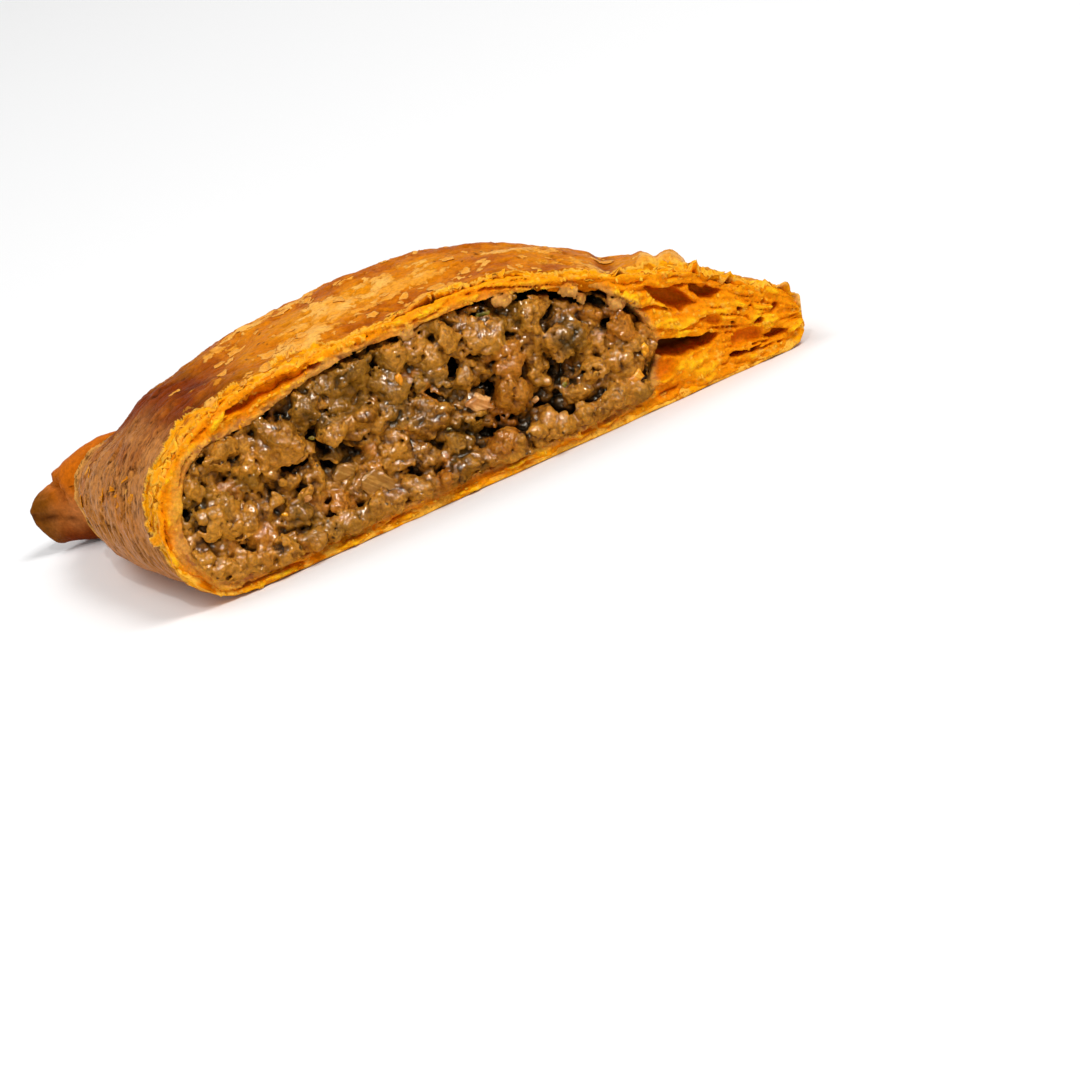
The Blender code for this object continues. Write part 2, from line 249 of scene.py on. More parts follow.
def perlin(x, y, z):
    """The same noise as the part's source uses, for the broad ripples that both have."""
    flat = [np.broadcast_to(value, np.shape(x)).ravel() for value in (x, y, z)]
    values = [noise.noise(point) for point in zip(*flat)]
    return np.array(values).reshape(np.shape(x))


# ---------------------------------------------------------------- the part's surface


def fold_x(y):
    """Where the folded side lies in x, from the cut to the tail."""
    share = clip(y / FOLD_BULGE_END)
    swell = -FOLD_BULGE * np.sin(math.pi * share**1.4)
    crease = 0.9 * bell(y - FOLD_BULGE_END, 2.4)
    run_out = clip((y - TAIL_START) / (TAIL_Y - TAIL_START))
    return swell + crease - TAIL_REACH * run_out**0.8


def edge_distance(x, y):
    """Distance in plan from points to the crimped edge, inwards."""
    across = np.maximum(x, 0.0) / CUT_WIDTH
    along = np.maximum(y, 0.0) / HALF_LENGTH
    total = across**PLAN_POWER + along**PLAN_POWER + 1e-9
    radius = total ** (1.0 / PLAN_POWER)
    scale = radius ** (1.0 - PLAN_POWER)
    slope = np.hypot(
        scale * across ** (PLAN_POWER - 1.0) / CUT_WIDTH,
        scale * along ** (PLAN_POWER - 1.0) / HALF_LENGTH,
    )
    return np.maximum((1.0 - radius) / np.maximum(slope, 1e-3), 0.0)


def edge_point(angle):
    """A point of the crimped edge, x and y, by its angle in degrees."""
    turn, power = np.radians(angle), 2.0 / PLAN_POWER
    return np.array((CUT_WIDTH * np.cos(turn) ** power, HALF_LENGTH * np.sin(turn) ** power))


def tail_share(y):
    """0 on the folded side, 1 on the tail of the crimp behind it."""
    return clip((y - FOLD_BULGE_END + 6.0) / 10.0)


def crust_heights(x, y):
    """Heights of the crust's plain top and base."""
    from_edge = edge_distance(x, y)
    from_fold = np.maximum(x - fold_x(y), 0.0)
    slope_run = SLOPE_AT_CUT + (SLOPE_AT_BACK - SLOPE_AT_CUT) * clip(y / 50.0)
    rise = np.sin(math.pi / 2.0 * clip(from_edge / slope_run)) ** SLOPE_POWER
    dome = DOME_RISE * bell(x - DOME_PLACE[0], DOME_SPREAD[0]) * bell(y - DOME_PLACE[1], DOME_SPREAD[1])
    fall = clip((y - BACK_FALL_START) / BACK_FALL_RUN) ** 1.2
    full = HEIGHT + dome - BACK_FALL * fall * bell(x, BACK_FALL_WIDTH)
    skin = EDGE_TOP + (full - EDGE_TOP) * rise
    skin = skin + SHOULDER_LIFT * bell(x - SHOULDER_PLACE, 6.0) * bell(y, 12.0)
    skin = skin + TAIL_LIFT * tail_share(y) * bell(from_fold, 12.0)
    middle = FOLD_MIDDLE + (TAIL_MIDDLE - FOLD_MIDDLE) * tail_share(y)
    middle = np.minimum(middle, 0.6 * skin)
    shrink = clip(skin / HEIGHT, 0.35, 1.0)
    top = middle + (skin - middle) * quarter_round(from_fold, FOLD_ROUND_TOP * shrink)
    crease = 1.3 * bell(y - FOLD_BULGE_END, 1.9) * bell(from_fold, 9.0)
    ripple = perlin(x / 14.0, y / 10.0, 3.1) * 0.9 + perlin(x / 6.5, y / 5.0, 8.4) * 0.55
    ripple = ripple * quarter_round(from_edge, 12.0) * quarter_round(from_fold, 8.0)
    top = top + (ripple - crease) * quarter_round(y, 8.0)
    top = EDGE_MIDDLE + (top - EDGE_MIDDLE) * quarter_round(from_edge, EDGE_ROUND)
    base = middle * (1.0 - quarter_round(from_fold, FOLD_ROUND_BASE * shrink))
    base = np.maximum(base, EDGE_MIDDLE * (1.0 - quarter_round(from_edge, EDGE_ROUND)))
    return top, base


def section_outline(near, far, count, heights):
    """A closed outline in a plane across the part: over the top from near to far, then back."""
    across = (1.0 - np.cos(math.pi * np.linspace(0.0, 1.0, count))) / 2.0
    x = near + (far - near) * across
    top, base = heights(x)
    return np.concatenate((np.stack((x, top), -1), np.stack((x, base), -1)[-2:0:-1]))


def crust_outline(y):
    """The crust's outer line where a plane at y cuts it."""
    far = CUT_WIDTH * (1.0 - (y / HALF_LENGTH) ** PLAN_POWER) ** (1.0 / PLAN_POWER)
    near = float(fold_x(np.float64(y)))
    return section_outline(near, far, CRUST_OUTLINE_POINTS, lambda x: crust_heights(x, np.full_like(x, y)))


def hollow_outline(y):
    """The hollow's outline in the same plane."""
    near = float(fold_x(np.float64(y))) + WALL_SIDE
    far = CAVITY_WIDTH - CAVITY_TAPER * y

    def heights(x):
        top, _ = crust_heights(x, np.full_like(x, y))
        roof = top - WALL_TOP - WALL_TOP_EXTRA * bell(x - WALL_SHOULDER[0], WALL_SHOULDER[1])
        floor = np.full_like(x, WALL_BASE)
        for middle, distance in ((CAVITY_MIDDLE_EDGE, far - x), (CAVITY_MIDDLE_FOLD, x - near)):
            level = np.minimum(middle, (roof + WALL_BASE) / 2.0)
            share = quarter_round(distance, CAVITY_ROUND)
            roof = level + (roof - level) * share
            floor = level + (floor - level) * share
        return roof, floor

    return section_outline(near, far, HOLLOW_OUTLINE_POINTS, heights)


def signed_distance(x, z, outline):
    """Distance from points of a plane to a closed outline, positive inside."""
    nearest = np.full(x.shape, 1e9)
    inside = np.zeros(x.shape, dtype=bool)
    for start, end in zip(outline, np.roll(outline, -1, axis=0)):
        step = end - start
        share = clip(((x - start[0]) * step[0] + (z - start[1]) * step[1]) / max(step @ step, 1e-12))
        away = (x - start[0] - step[0] * share) ** 2 + (z - start[1] - step[1] * share) ** 2
        nearest = np.minimum(nearest, away)
        if abs(step[1]) > 1e-12:
            crosses = (start[1] > z) != (end[1] > z)
            inside ^= crosses & (x < start[0] + step[0] * (z - start[1]) / step[1])
    return np.where(inside, 1.0, -1.0) * np.sqrt(nearest)


# ---------------------------------------------------------------- meshes


def to_part(points):
    return (points - PART_ORIGIN) * METRES


def make_piece(name, points, faces, material, tones, more=None):
    """A smooth mesh piece from points in millimetres, with a colour for each point."""
    mesh = bpy.data.meshes.new(name)
    faces = np.asarray(faces)
    count, sides = faces.shape
    mesh.vertices.add(len(points))
    mesh.vertices.foreach_set("co", to_part(points).astype(np.float32).ravel())
    mesh.loops.add(count * sides)
    mesh.loops.foreach_set("vertex_index", faces.astype(np.int32).ravel())
    mesh.polygons.add(count)
    mesh.polygons.foreach_set("loop_start", np.arange(0, count * sides, sides, dtype=np.int32))
    mesh.polygons.foreach_set("use_smooth", np.ones(count, dtype=bool))
    mesh.update(calc_edges=True)
    mesh.validate()
    for label, values in {"tone": tones, **(more or {})}.items():
        if values.ndim == 1:
            layer = mesh.attributes.new(label, "FLOAT", "POINT")
            layer.data.foreach_set("value", values.astype(np.float32))
            continue
        layer = mesh.color_attributes.new(label, "FLOAT_COLOR", "POINT")
        colours = np.ones((len(points), 4), dtype=np.float32)
        colours[:, :3] = clip(values)
        layer.data.foreach_set("color", colours.ravel())
    mesh.materials.append(material)
    piece = bpy.data.objects.new(name, mesh)
    bpy.context.scene.collection.objects.link(piece)
    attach(piece, "root")
    return piece


def surface_net(field, axes, step):
    """The surface where a field over a grid changes sign, as points and quads. Inside is below 0."""
    low = field < 0.0
    shape = tuple(size - 1 for size in field.shape)
    corners = np.zeros(shape, dtype=np.int8)
    for corner in np.ndindex(2, 2, 2):
        corners += low[tuple(slice(first, first + size) for first, size in zip(corner, shape))]
    active = (corners > 0) & (corners < 8)
    cells = np.argwhere(active)
    numbers = np.full(shape, -1, dtype=np.int64)
    numbers[active] = np.arange(len(cells))
    total = np.zeros((len(cells), 3))
    found = np.zeros(len(cells))
    quads = []
    for axis in range(3):
        others = [(axis + 1) % 3, (axis + 2) % 3]
        for offset in np.ndindex(2, 2):
            first = cells.copy()
            first[:, sorted(others)] += offset
            second = first.copy()
            second[:, axis] += 1
            here, there = field[tuple(first.T)], field[tuple(second.T)]
            crossing = (here < 0.0) != (there < 0.0)
            share = np.where(crossing, here / np.where(crossing, here - there, 1.0), 0.0)
            point = first.astype(float)
            point[:, axis] += share
            total[crossing] += point[crossing]
            found[crossing] += 1
        behind, ahead = [slice(None)] * 3, [slice(None)] * 3
        behind[axis], ahead[axis] = slice(None, -1), slice(1, None)
        inside = low[tuple(behind)]
        edges = np.argwhere(inside != low[tuple(ahead)])
        within = (edges[:, others] > 0) & (edges[:, others] < np.array(shape)[others])
        edges = edges[within.all(axis=1)]
        ring = []
        for back in ((1, 1), (0, 1), (0, 0), (1, 0)):
            cell = edges.copy()
            cell[:, others] -= back
            ring.append(numbers[tuple(cell.T)])
        ring = np.stack(ring, -1)
        quads.append(np.where(inside[tuple(edges.T)][:, None], ring, ring[:, ::-1]))
    start = np.array([values[0] for values in axes])
    return total / found[:, None] * step + start, np.concatenate(quads)


def joined(bodies):
    """One mesh from several bodies of points, quads and tones."""
    first, parts = 0, []
    for points, quads, tones in bodies:
        parts.append((points, quads + first, tones))
        first += len(points)
    return [np.concatenate(part) for part in zip(*parts)]


def ring_quads(rows, columns):
    """Numbers of points on closed rings, and the quads from each ring to the next."""
    index = np.arange(rows * columns).reshape(rows, columns)
    ahead = np.roll(index, -1, axis=1)
    return index, np.stack((index[:-1], index[1:], ahead[1:], ahead[:-1]), -1).reshape(-1, 4)


def grid_block(axes, low, high):
    """The slices of a grid's axes between two corners."""
    return tuple(slice(*np.searchsorted(values, ends)) for values, *ends in zip(axes, low, high))


def relax(points, quads, rounds, share=0.5):
    """Moves each point towards the middle of its neighbours, to take the grid's steps out."""
    pairs = np.concatenate([quads[:, (i, (i + 1) % 4)] for i in range(4)])
    pairs = np.concatenate((pairs, pairs[:, ::-1]))
    degree = np.bincount(pairs[:, 0], minlength=len(points))
    for _ in range(rounds):
        middle = np.stack(
            [np.bincount(pairs[:, 0], points[pairs[:, 1], k], len(points)) for k in range(3)], -1
        )
        points = points + (middle / np.maximum(degree, 1)[:, None] - points) * share
    return points


# ---------------------------------------------------------------- materials


class Look:
    """A Principled material with short ways to build its nodes."""

    def __init__(self, name, roughness, **values):
        self.material = bpy.data.materials.new(name)
        self.material.use_nodes = True
        self.tree = self.material.node_tree
        self.shader = self.tree.nodes["Principled BSDF"]
        for socket, value in {"Roughness": roughness, **values}.items():
            self.shader.inputs[socket.replace("_", " ")].default_value = value

    def feed(self, socket, value):
        """Links a value to one of the shader's own sockets."""
        self.tree.links.new(value, self.shader.inputs[socket])

    def node(self, kind, inputs, output, **settings):
        """Adds a node and gives one of its outputs. An input is a number or a socket to link."""
        node = self.tree.nodes.new("ShaderNode" + kind)
        for name, value in settings.items():
            setattr(node, name, value)
        for name, value in inputs.items():
            if isinstance(value, bpy.types.NodeSocket):
                self.tree.links.new(value, node.inputs[name])
            else:
                node.inputs[name].default_value = value
        return node.outputs[output]

    def own(self, name, output="Fac"):
        """One of the piece's own fields."""
        return self.node("Attribute", {}, output, attribute_name=name)

    def noise(self, size, detail=3.0, roughness=0.55, stretch=None):
        """Noise whose lumps are size mm across, in the object's own coordinates."""
        place = self.node("TexCoord", {}, "Object")
        if stretch:
            place = self.node("Mapping", {"Vector": place, "Scale": stretch}, "Vector")
        grains = {"Scale": 1.0 / (size * METRES), "Detail": detail, "Roughness": roughness}
        return self.node("TexNoise", {"Vector": place, **grains}, "Fac")

    def ranged(self, value, low, high, to_low=0.0, to_high=1.0):
        ends = {"From Min": low, "From Max": high, "To Min": to_low, "To Max": to_high}
        return self.node("MapRange", {"Value": value, **ends}, "Result")

    def combine(self, operation, first, second):
        return self.node("Math", {0: first, 1: second}, "Value", operation=operation)

    def mix(self, share, first, second, mode="MIX"):
        """Mixes two colours, each a socket or a fixed colour."""
        node = {"data_type": "RGBA", "blend_type": mode}
        first, second = ((*each, 1.0) if isinstance(each, np.ndarray) else each for each in (first, second))
        return self.node("Mix", {0: share, 6: first, 7: second}, 2, **node)

    def ragged(self, name, size, depth):
        """One of the piece's own fields with a fine uneven edge added to it."""
        fine = self.ranged(self.noise(size, 4.0), 0.2, 0.8, -depth, depth)
        return self.combine("ADD", self.own(name), fine)

    def uneven_tone(self, size, low, high):
        """Base colour from the piece's own colours, made a little uneven."""
        fleck = self.ranged(self.noise(size), 0.3, 0.7, low, high)
        self.feed("Base Color", self.mix(1.0, self.own("tone", "Color"), fleck, "MULTIPLY"))

    def bump(self, height, distance):
        inputs = {"Strength": 1.0, "Distance": distance * METRES, "Height": height}
        self.feed("Normal", self.node("Bump", inputs, "Normal"))


def skin_material():
    """Browned skin with pale flakes, a fold side streaked with painted shade in its grooves and painted
    highlights between them, and torn layers behind the cut.
    """
    look = Look("browned_skin", 0.42, Specular_IOR_Level=0.035, Specular_Tint=(1.0, 0.55, 0.15, 1.0))
    ranged, combine, mix = look.ranged, look.combine, look.mix
    flakes = ranged(look.ragged("flake", 1.0, 0.28), 0.0, 0.1)
    colour = mix(flakes, look.own("tone", "Color"), look.own("pale", "Color"))
    streaks = look.noise(0.6, 5.0, 0.62, (0.5, 1.0, 0.42))
    patchy = ranged(look.noise(3.2), 0.4, 0.62, 0.25, 1.0)
    bark = combine("MULTIPLY", look.own("bark"), patchy)
    # Painted shade in the streaks that are sunk as grooves, painted highlights on the paler streaks
    dark = combine("MULTIPLY", bark, ranged(streaks, 0.48, 0.36, 0.0, 0.75))
    light = combine("MULTIPLY", bark, ranged(streaks, 0.56, 0.7, 0.0, 0.4))
    colour = mix(light, mix(dark, colour, DARK), FLAKE)
    height = combine("ADD", combine("MULTIPLY", flakes, 0.5), combine("MULTIPLY", dark, -2.5))
    for name, layer in (("peel", LAYER_BRIGHT), ("peel_deep", LAYER_DEEP)):
        border = look.ragged(name, 1.2, 0.35)
        bare = ranged(border, 0.0, 0.06)
        patches = ranged(look.noise(1.9, 4.0, 0.6), 0.48, 0.6, 0.0, 0.8)
        colour = mix(bare, colour, mix(patches, layer, AMBER))
        edge = ranged(combine("ABSOLUTE", border, 0.0), 0.2, 0.06, 0.0, 0.7)
        colour = mix(edge, colour, EDGE_PALE)
        height = combine("ADD", height, combine("MULTIPLY", bare, -0.6))
    grainy = ranged(look.noise(0.6, 4.0, 0.65), 0.3, 0.7, 0.72, 1.2)
    look.feed("Base Color", mix(1.0, colour, grainy, "MULTIPLY"))
    look.feed("Roughness", ranged(look.noise(2.2), 0.3, 0.7, 0.26, 0.5))
    look.bump(combine("ADD", height, look.noise(0.5, 4.0, 0.6)), 0.12)
    return look.material


def dough_material(name="layered_dough", scatter=0.25):
    """Yellow dough that lets a little light through."""
    look = Look(
        name,
        0.45,
        Subsurface_Weight=scatter,
        Subsurface_Radius=(1.0, 0.42, 0.06),
        Subsurface_Scale=0.7 * METRES,
        Specular_IOR_Level=0.1,
        Specular_Tint=(1.0, 0.7, 0.3, 1.0),
    )
    look.uneven_tone(0.4, 0.76, 1.13)
    look.bump(look.noise(0.35, 4.0, 0.6), 0.09)
    return look.material


def moist_material(name, flecks, bumps):
    """Wet food that glints. Its own field "wet" says where it is moist."""
    look = Look(
        name,
        0.4,
        Subsurface_Weight=0.12,
        Subsurface_Radius=(1.0, 0.5, 0.2),
        Subsurface_Scale=0.7 * METRES,
        Specular_IOR_Level=0.03,
        Specular_Tint=(1.0, 0.85, 0.6, 1.0),
        Coat_Roughness=0.1,
        Coat_Tint=(1.0, 0.96, 0.86, 1.0),
    )
    look.uneven_tone(0.5, *flecks)
    shine = look.ranged(look.noise(1.3), 0.38, 0.55, 0.02, 0.17)
    look.feed("Coat Weight", look.combine("MULTIPLY", shine, look.own("wet")))
    look.bump(look.noise(0.5, 4.0, 0.6), bumps)
    return look.material


# ---------------------------------------------------------------- skin

GOLD = srgb(224, 144, 14)
ORANGE = srgb(206, 116, 4)
AMBER = srgb(176, 88, 2)
BROWN = srgb(124, 48, 2)
# Near black brown: the crust's own dark specks, and painted shade in its grooves, cracks and wrinkles
DARK = srgb(66, 24, 1)
GREYED = srgb(188, 122, 62)
FLAKE = srgb(236, 172, 78)
FLAKE_GOLD = srgb(228, 148, 40)
EDGE_PALE = srgb(255, 194, 70)
LAYER_BRIGHT = srgb(246, 158, 8)
LAYER_DEEP = srgb(226, 124, 3)
UNDERSIDE = srgb(206, 122, 16)
TAIL_BROWN = srgb(166, 86, 16)
# Lighter tan, laid in random patches, partly a painted sheen
TAIL_TAN_AND_SHEEN = srgb(196, 118, 58)
TAIL_TOP = srgb(190, 96, 10)
TAIL_UNDER = srgb(112, 42, 2)
TAIL_TIP = srgb(112, 62, 8)

SKIN_ACROSS_TOP = 300
SKIN_ACROSS_BASE = 50
SKIN_STATIONS = 238
SKIN_END_LOOPS = 8
LIP_THICKNESS = 0.5

# Loops that fold the lip in: depth in lip thicknesses, distance behind the lip
LIP_LOOPS = ((3.0, 1.2), (1.0, 0.25), (0.5, -0.05))
TAIL_ROOT = 60.6

# Broad swells and hollows of the top: place in x and y, spread in x and y, height
SWELLS = (
    (49.0, 27.0, 10.0, 13.0, -0.5),
    (26.0, 35.0, 11.0, 11.0, 0.9),
    (5.0, 41.0, 4.0, 13.0, -1.1),
)

# Pleats of the skin on the shoulder, from valley to ridge: place across, height
PLEATS = (
    (68.0, 0.0), (69.7, -0.1), (71.0, -0.7), (72.0, -0.3), (74.5, 0.6), (75.9, 1.3), (76.9, 1.0),
    (77.7, 0.55),
    (78.4, 1.2), (79.2, 1.5), (79.9, 1.3), (80.6, 0.9), (81.3, 0.1), (81.7, -0.7), (82.3, -0.1),
    (85.0, 0.0),
)  # fmt: skip
PLEAT_LEAN = 0.22

# Shards that stand up from the lip: place along x, height, half width
SHARDS = (
    (80.3, 1.3, 0.35), (70.7, 1.0, 0.7), (74.2, 0.5, 0.3),
    (64.4, 0.5, 0.5), (84.4, 0.7, 0.4), (90.5, 0.9, 0.5),
)  # fmt: skip


def even_shares(count, start_height):
    """Shares across a section at even steps of its arc length, top or base."""
    fine = (1.0 - np.cos(math.pi * np.linspace(0.0, 1.0, 1500))) / 2.0
    y = 12.0
    near = float(fold_x(np.float64(y)))
    x = near + (CUT_WIDTH - near) * fine
    height = crust_heights(x, np.full_like(x, y))[start_height]
    run = np.concatenate(((0.0,), np.cumsum(np.hypot(np.diff(x), np.diff(height)))))
    return np.interp(np.linspace(0.0, run[-1], count), run, fine)


def lip_distance(x, z):
    """How far behind the cut the skin's torn edge lies."""
    over, flat = smooth(7.0, 14.0, z), np.zeros_like(x)
    edge = rough(x, z, flat, 7.0, 5, 1.0)
    fine = rough(x, z, flat + 4.0, 1.1, 3, 4.0)
    jags = np.abs(rough(x, z, flat + 9.0, 2.4, 3, 6.0))
    return np.maximum(0.3 + over * (0.5 + 2.2 * jags) + (0.6 + 1.15 * over) * edge + 0.8 * fine, 0.12)


def skin_grid():
    """Points of the outer skin, as stations behind the lip by places round each section."""
    shares = np.concatenate((even_shares(SKIN_ACROSS_TOP, 0), even_shares(SKIN_ACROSS_BASE, 1)[-2:0:-1]))
    top_side = np.arange(len(shares)) < SKIN_ACROSS_TOP
    front_x = CUT_WIDTH * shares
    front = np.where(top_side, *crust_heights(front_x, np.zeros_like(front_x)))
    lip = lip_distance(front_x, front)
    table = np.linspace(0.0, 1.0, 600)
    _, edge_line = edge_point(LAST_ANGLE * table)
    start_v = np.empty_like(shares)
    for i, share in enumerate(shares):
        line = TAIL_Y * table * (1 - share) + edge_line * share
        start_v[i] = np.interp(lip[i], line, table)
    steps = np.linspace(0.0, 1.0, SKIN_STATIONS) ** 1.12
    v = start_v[None, :] + (1.0 - start_v[None, :]) * steps[:, None]
    fold_y = TAIL_Y * v
    edge_x, edge_y = edge_point(LAST_ANGLE * v)
    near = fold_x(fold_y)
    x = near + (edge_x - near) * shares
    y = fold_y + (edge_y - fold_y) * shares
    top, base = crust_heights(x, y)
    z = np.where(top_side[None, :], top, base)
    return np.stack((x, y, z), -1), top_side, lip


def grid_normals(points):
    along = np.gradient(points, axis=0)
    around = np.roll(points, -1, axis=1) - np.roll(points, 1, axis=1)
    return unit(np.cross(around, along))


def crimp_marks():
    """Places on the crimped edge a fork pitch apart, each with the direction along the edge."""
    angles = np.arange(0.25, 86.0, 0.25)
    points = edge_point(angles).T
    travelled = CRIMP_PITCH * 0.3 + np.cumsum(np.linalg.norm(np.diff(points, axis=0), axis=1))
    travelled = np.concatenate(((CRIMP_PITCH * 0.3,), travelled))
    marks = []
    for number in range(1, int(travelled[-1] / CRIMP_PITCH) + 1):
        angle = float(np.interp(number * CRIMP_PITCH, travelled, angles))
        here, ahead = edge_point(angle), edge_point(angle + 0.4)
        marks.append((here, (ahead - here) / np.linalg.norm(ahead - here)))
    return marks


def crimp_share(zone):
    """1 in the fork's marks and 0 between them."""
    marks = np.zeros_like(zone.x)
    blur = 0.5 * rough(zone.x, zone.y, zone.z, 1.6, 3, 26.0)
    for place, along in crimp_marks():
        inward = np.array((-along[1], along[0]))
        centre = place + inward * (CRIMP_INSET - 0.3)
        u = (zone.x - centre[0]) * along[0] + (zone.y - centre[1]) * along[1]
        w = (zone.x - centre[0]) * inward[0] + (zone.y - centre[1]) * inward[1]
        near = np.hypot(u / 1.75, w / 2.7) + blur
        marks = np.maximum(marks, (1.0 - smooth(0.55, 1.1, near)) * zone.above)
    return marks


def torn_borders(zone):
    """How far behind the cut each torn layer reaches: the upper one, then the one below it."""
    left = 1.0 - smooth(16.0, 34.0, zone.x)
    over = smooth(7.0, 14.0, zone.z) * zone.above + 0.3 * (1.0 - zone.above)
    fine = 0.6 * rough(zone.x, zone.y, zone.z, 1.8, 4, 21.0)
    borders = []
    for reach, size, seed in ((2.2 + 4.0 * left, 5.0, 25.0), (1.1 + 1.2 * left, 4.0, 20.0)):
        border = reach * (1.0 + 1.4 * rough(zone.x, 0.5 * zone.y, zone.z, size, 4, seed)) + fine
        borders.append(border * over - 0.4 * (1.0 - over))
    return borders


def skin_zones(points, top_side, lip):
    """How far each point of the skin belongs to each region of it, and the patterns it carries."""
    zone = SimpleNamespace()
    zone.x, zone.y, zone.z = x, y, z = np.moveaxis(points, -1, 0)
    zone.above = above = np.broadcast_to(top_side[None, :], x.shape).astype(float)
    zone.shown = shown = np.maximum(above, smooth(1.0, 4.5, z))
    zone.from_fold = np.maximum(x - fold_x(y), 0.0)
    zone.from_edge = edge_distance(x, y)
    zone.behind_lip = y - lip[None, :]
    zone.tail = smooth(58.5, 60.5, y) * (1.0 - smooth(10.0, 22.0, zone.from_fold))
    zone.side = (1.0 - smooth(3.0, 13.0, zone.from_fold)) * (1.0 - zone.tail)
    zone.shoulder = bell(zone.from_fold - 12.0, 8.0) * smooth(2.0, 7.0, y) * (1.0 - zone.tail)

    warp = 1.0 * rough(x, y, z, 1.8, 3, 2.0)
    patch = rough(0.75 * x + warp, y + warp, z, 5.0, 6, 4.0)
    zone.small = rough(x - warp, y + warp, z, 1.7, 4, 6.0)
    often = bell(x - 40.0, 16.0) * (1.0 - smooth(9.0, 26.0, y))
    flake = 1.0 * patch + 0.5 * zone.small - 0.17 + 0.14 * often
    flake = flake - 0.45 * zone.side - 0.35 * zone.shoulder - 0.7 * zone.tail
    zone.flake = np.where(above > 0.5, flake, -0.5)
    zone.pits = smooth(0.26, 0.38, rough(x, y, z, 1.3, 3, 12.0)) * above

    flow = rough(zone.from_fold * 0.26 + z * 0.24, y * 0.9, 0.0, 1.0, 4, 13.0)
    fissure = 1.0 - smooth(0.0, 0.13, np.abs(flow + 0.05))
    zone.fissure = fissure * smooth(-0.2, 0.2, rough(x, y, z, 4.0, 3, 16.0)) * zone.side * shown
    wide_flow = rough(zone.from_fold * 0.09 + z * 0.09, y * 0.34, 0.0, 1.0, 3, 15.0)
    zone.wrinkle = (1.0 - smooth(0.0, 0.16, np.abs(wide_flow))) * zone.shoulder * above

    across = x - PLEAT_LEAN * (y - 10.0) + 0.5 * rough(x, y, 0.0, 9.0, 2, 18.0)
    pleated = smooth(1.5, 5.0, y) * (1.0 - smooth(22.0, 34.0, y)) * above
    zone.pleat = pleated * np.interp(across, *zip(*PLEATS))

    wander = 1.6 * rough(x, 0.0, z, 7.0, 3, 27.0)
    zone.rim = bell(y - 48.0 - wander, 0.28) * (1.0 - smooth(7.0, 13.0, zone.from_fold))
    zone.rim_groove = bell(y - 46.3 - wander, 0.5) * (1.0 - smooth(7.0, 13.0, zone.from_fold))
    zone.borders = torn_borders(zone)
    zone.marks = crimp_share(zone)
    seam = bell(z - 3.6 - 0.5 * rough(x, y, 0.0, 8.0, 3, 30.0), 0.35)
    zone.seam = seam * (1.0 - smooth(0.0, 2.0, zone.from_edge))
    return zone


def tail_groove(x, z):
    """Height above the groove that parts the tail's upper lobe from its lower one."""
    return z - 6.2 + 0.35 * (x + 8.0)


def tail_height(zone):
    """The rim round the tail's root, its upper lobe that ends in a torn step, and its thin tip."""
    x, y, z = zone.x, zone.y, zone.z
    wander = rough(x, 0.0, z, 6.0, 2, 24.0)
    near_fold = bell(zone.from_fold, 10.0)
    root = bell(y - TAIL_ROOT - 0.7 * wander, 0.8)
    height = near_fold * (0.7 * zone.rim - 0.7 * zone.rim_groove - 1.1 * root)
    step = x + 3.1 - 0.5 * rough(y, z, 0.0, 1.6, 3, 29.0)
    upper = zone.tail * smooth(5.0, 8.5, z) * zone.above
    lobe = 1.0 + 0.4 * bell(x - 4.5, 5.0)
    height = height + upper * (lobe * smooth(-0.15, 0.25, step) - 0.7 * bell(step + 0.3, 0.4))
    groove = bell(tail_groove(x, z), 0.7) * smooth(-2.5, -5.0, x)
    thin = smooth(6.0, -7.5, x) * zone.tail
    return height - 0.9 * thin - 0.3 * groove * zone.tail + 0.5 * zone.tail * rough(x, y, z, 3.5, 3, 31.0)


def skin_height(zone):
    """Height of the skin's relief above the plain surface."""
    x, y, z = zone.x, zone.y, zone.z
    height = 0.4 * rough(x, y, z, 6.0, 3, 9.0) + 0.2 * rough(x, y, z, 1.3, 3, 11.0)
    height = height + 0.16 * smooth(-0.02, 0.08, zone.flake)
    height = height - 0.2 * zone.pits * (1.0 - zone.side)
    height = height - 0.45 * zone.fissure - 0.3 * zone.wrinkle
    height = height + zone.pleat
    for border in zone.borders:
        height = height - 0.4 * (1.0 - smooth(-0.12, 0.12, y - border))
        height = height + 0.14 * bell(y - border - 0.25, 0.3)
    near_lip = (1.0 - smooth(0.0, 1.8, zone.behind_lip)) * zone.above
    curl = 0.8 * rough(x, 0.0, z, 4.0, 3, 22.0)
    for place, tall, half_width in SHARDS:
        curl = curl + tall * bell(x - place, half_width)
    curl = curl + 1.7 * smooth(84.0, 88.0, x) * rough(x, 0.0, z, 1.7, 3, 49.0)
    height = height + curl * near_lip
    for place_x, place_y, spread_x, spread_y, swell in SWELLS:
        high = bell(x - place_x, spread_x) * bell(y - place_y, spread_y) * smooth(9.0, 15.0, z)
        height = height + swell * high
    height = height - zone.marks * (1.15 + 0.9 * rough(x, y, z, 0.9, 3, 28.0)) - 0.3 * zone.seam
    height = height * (0.35 + 0.65 * zone.shown)
    return height * (1.0 - 0.6 * zone.tail) + tail_height(zone)


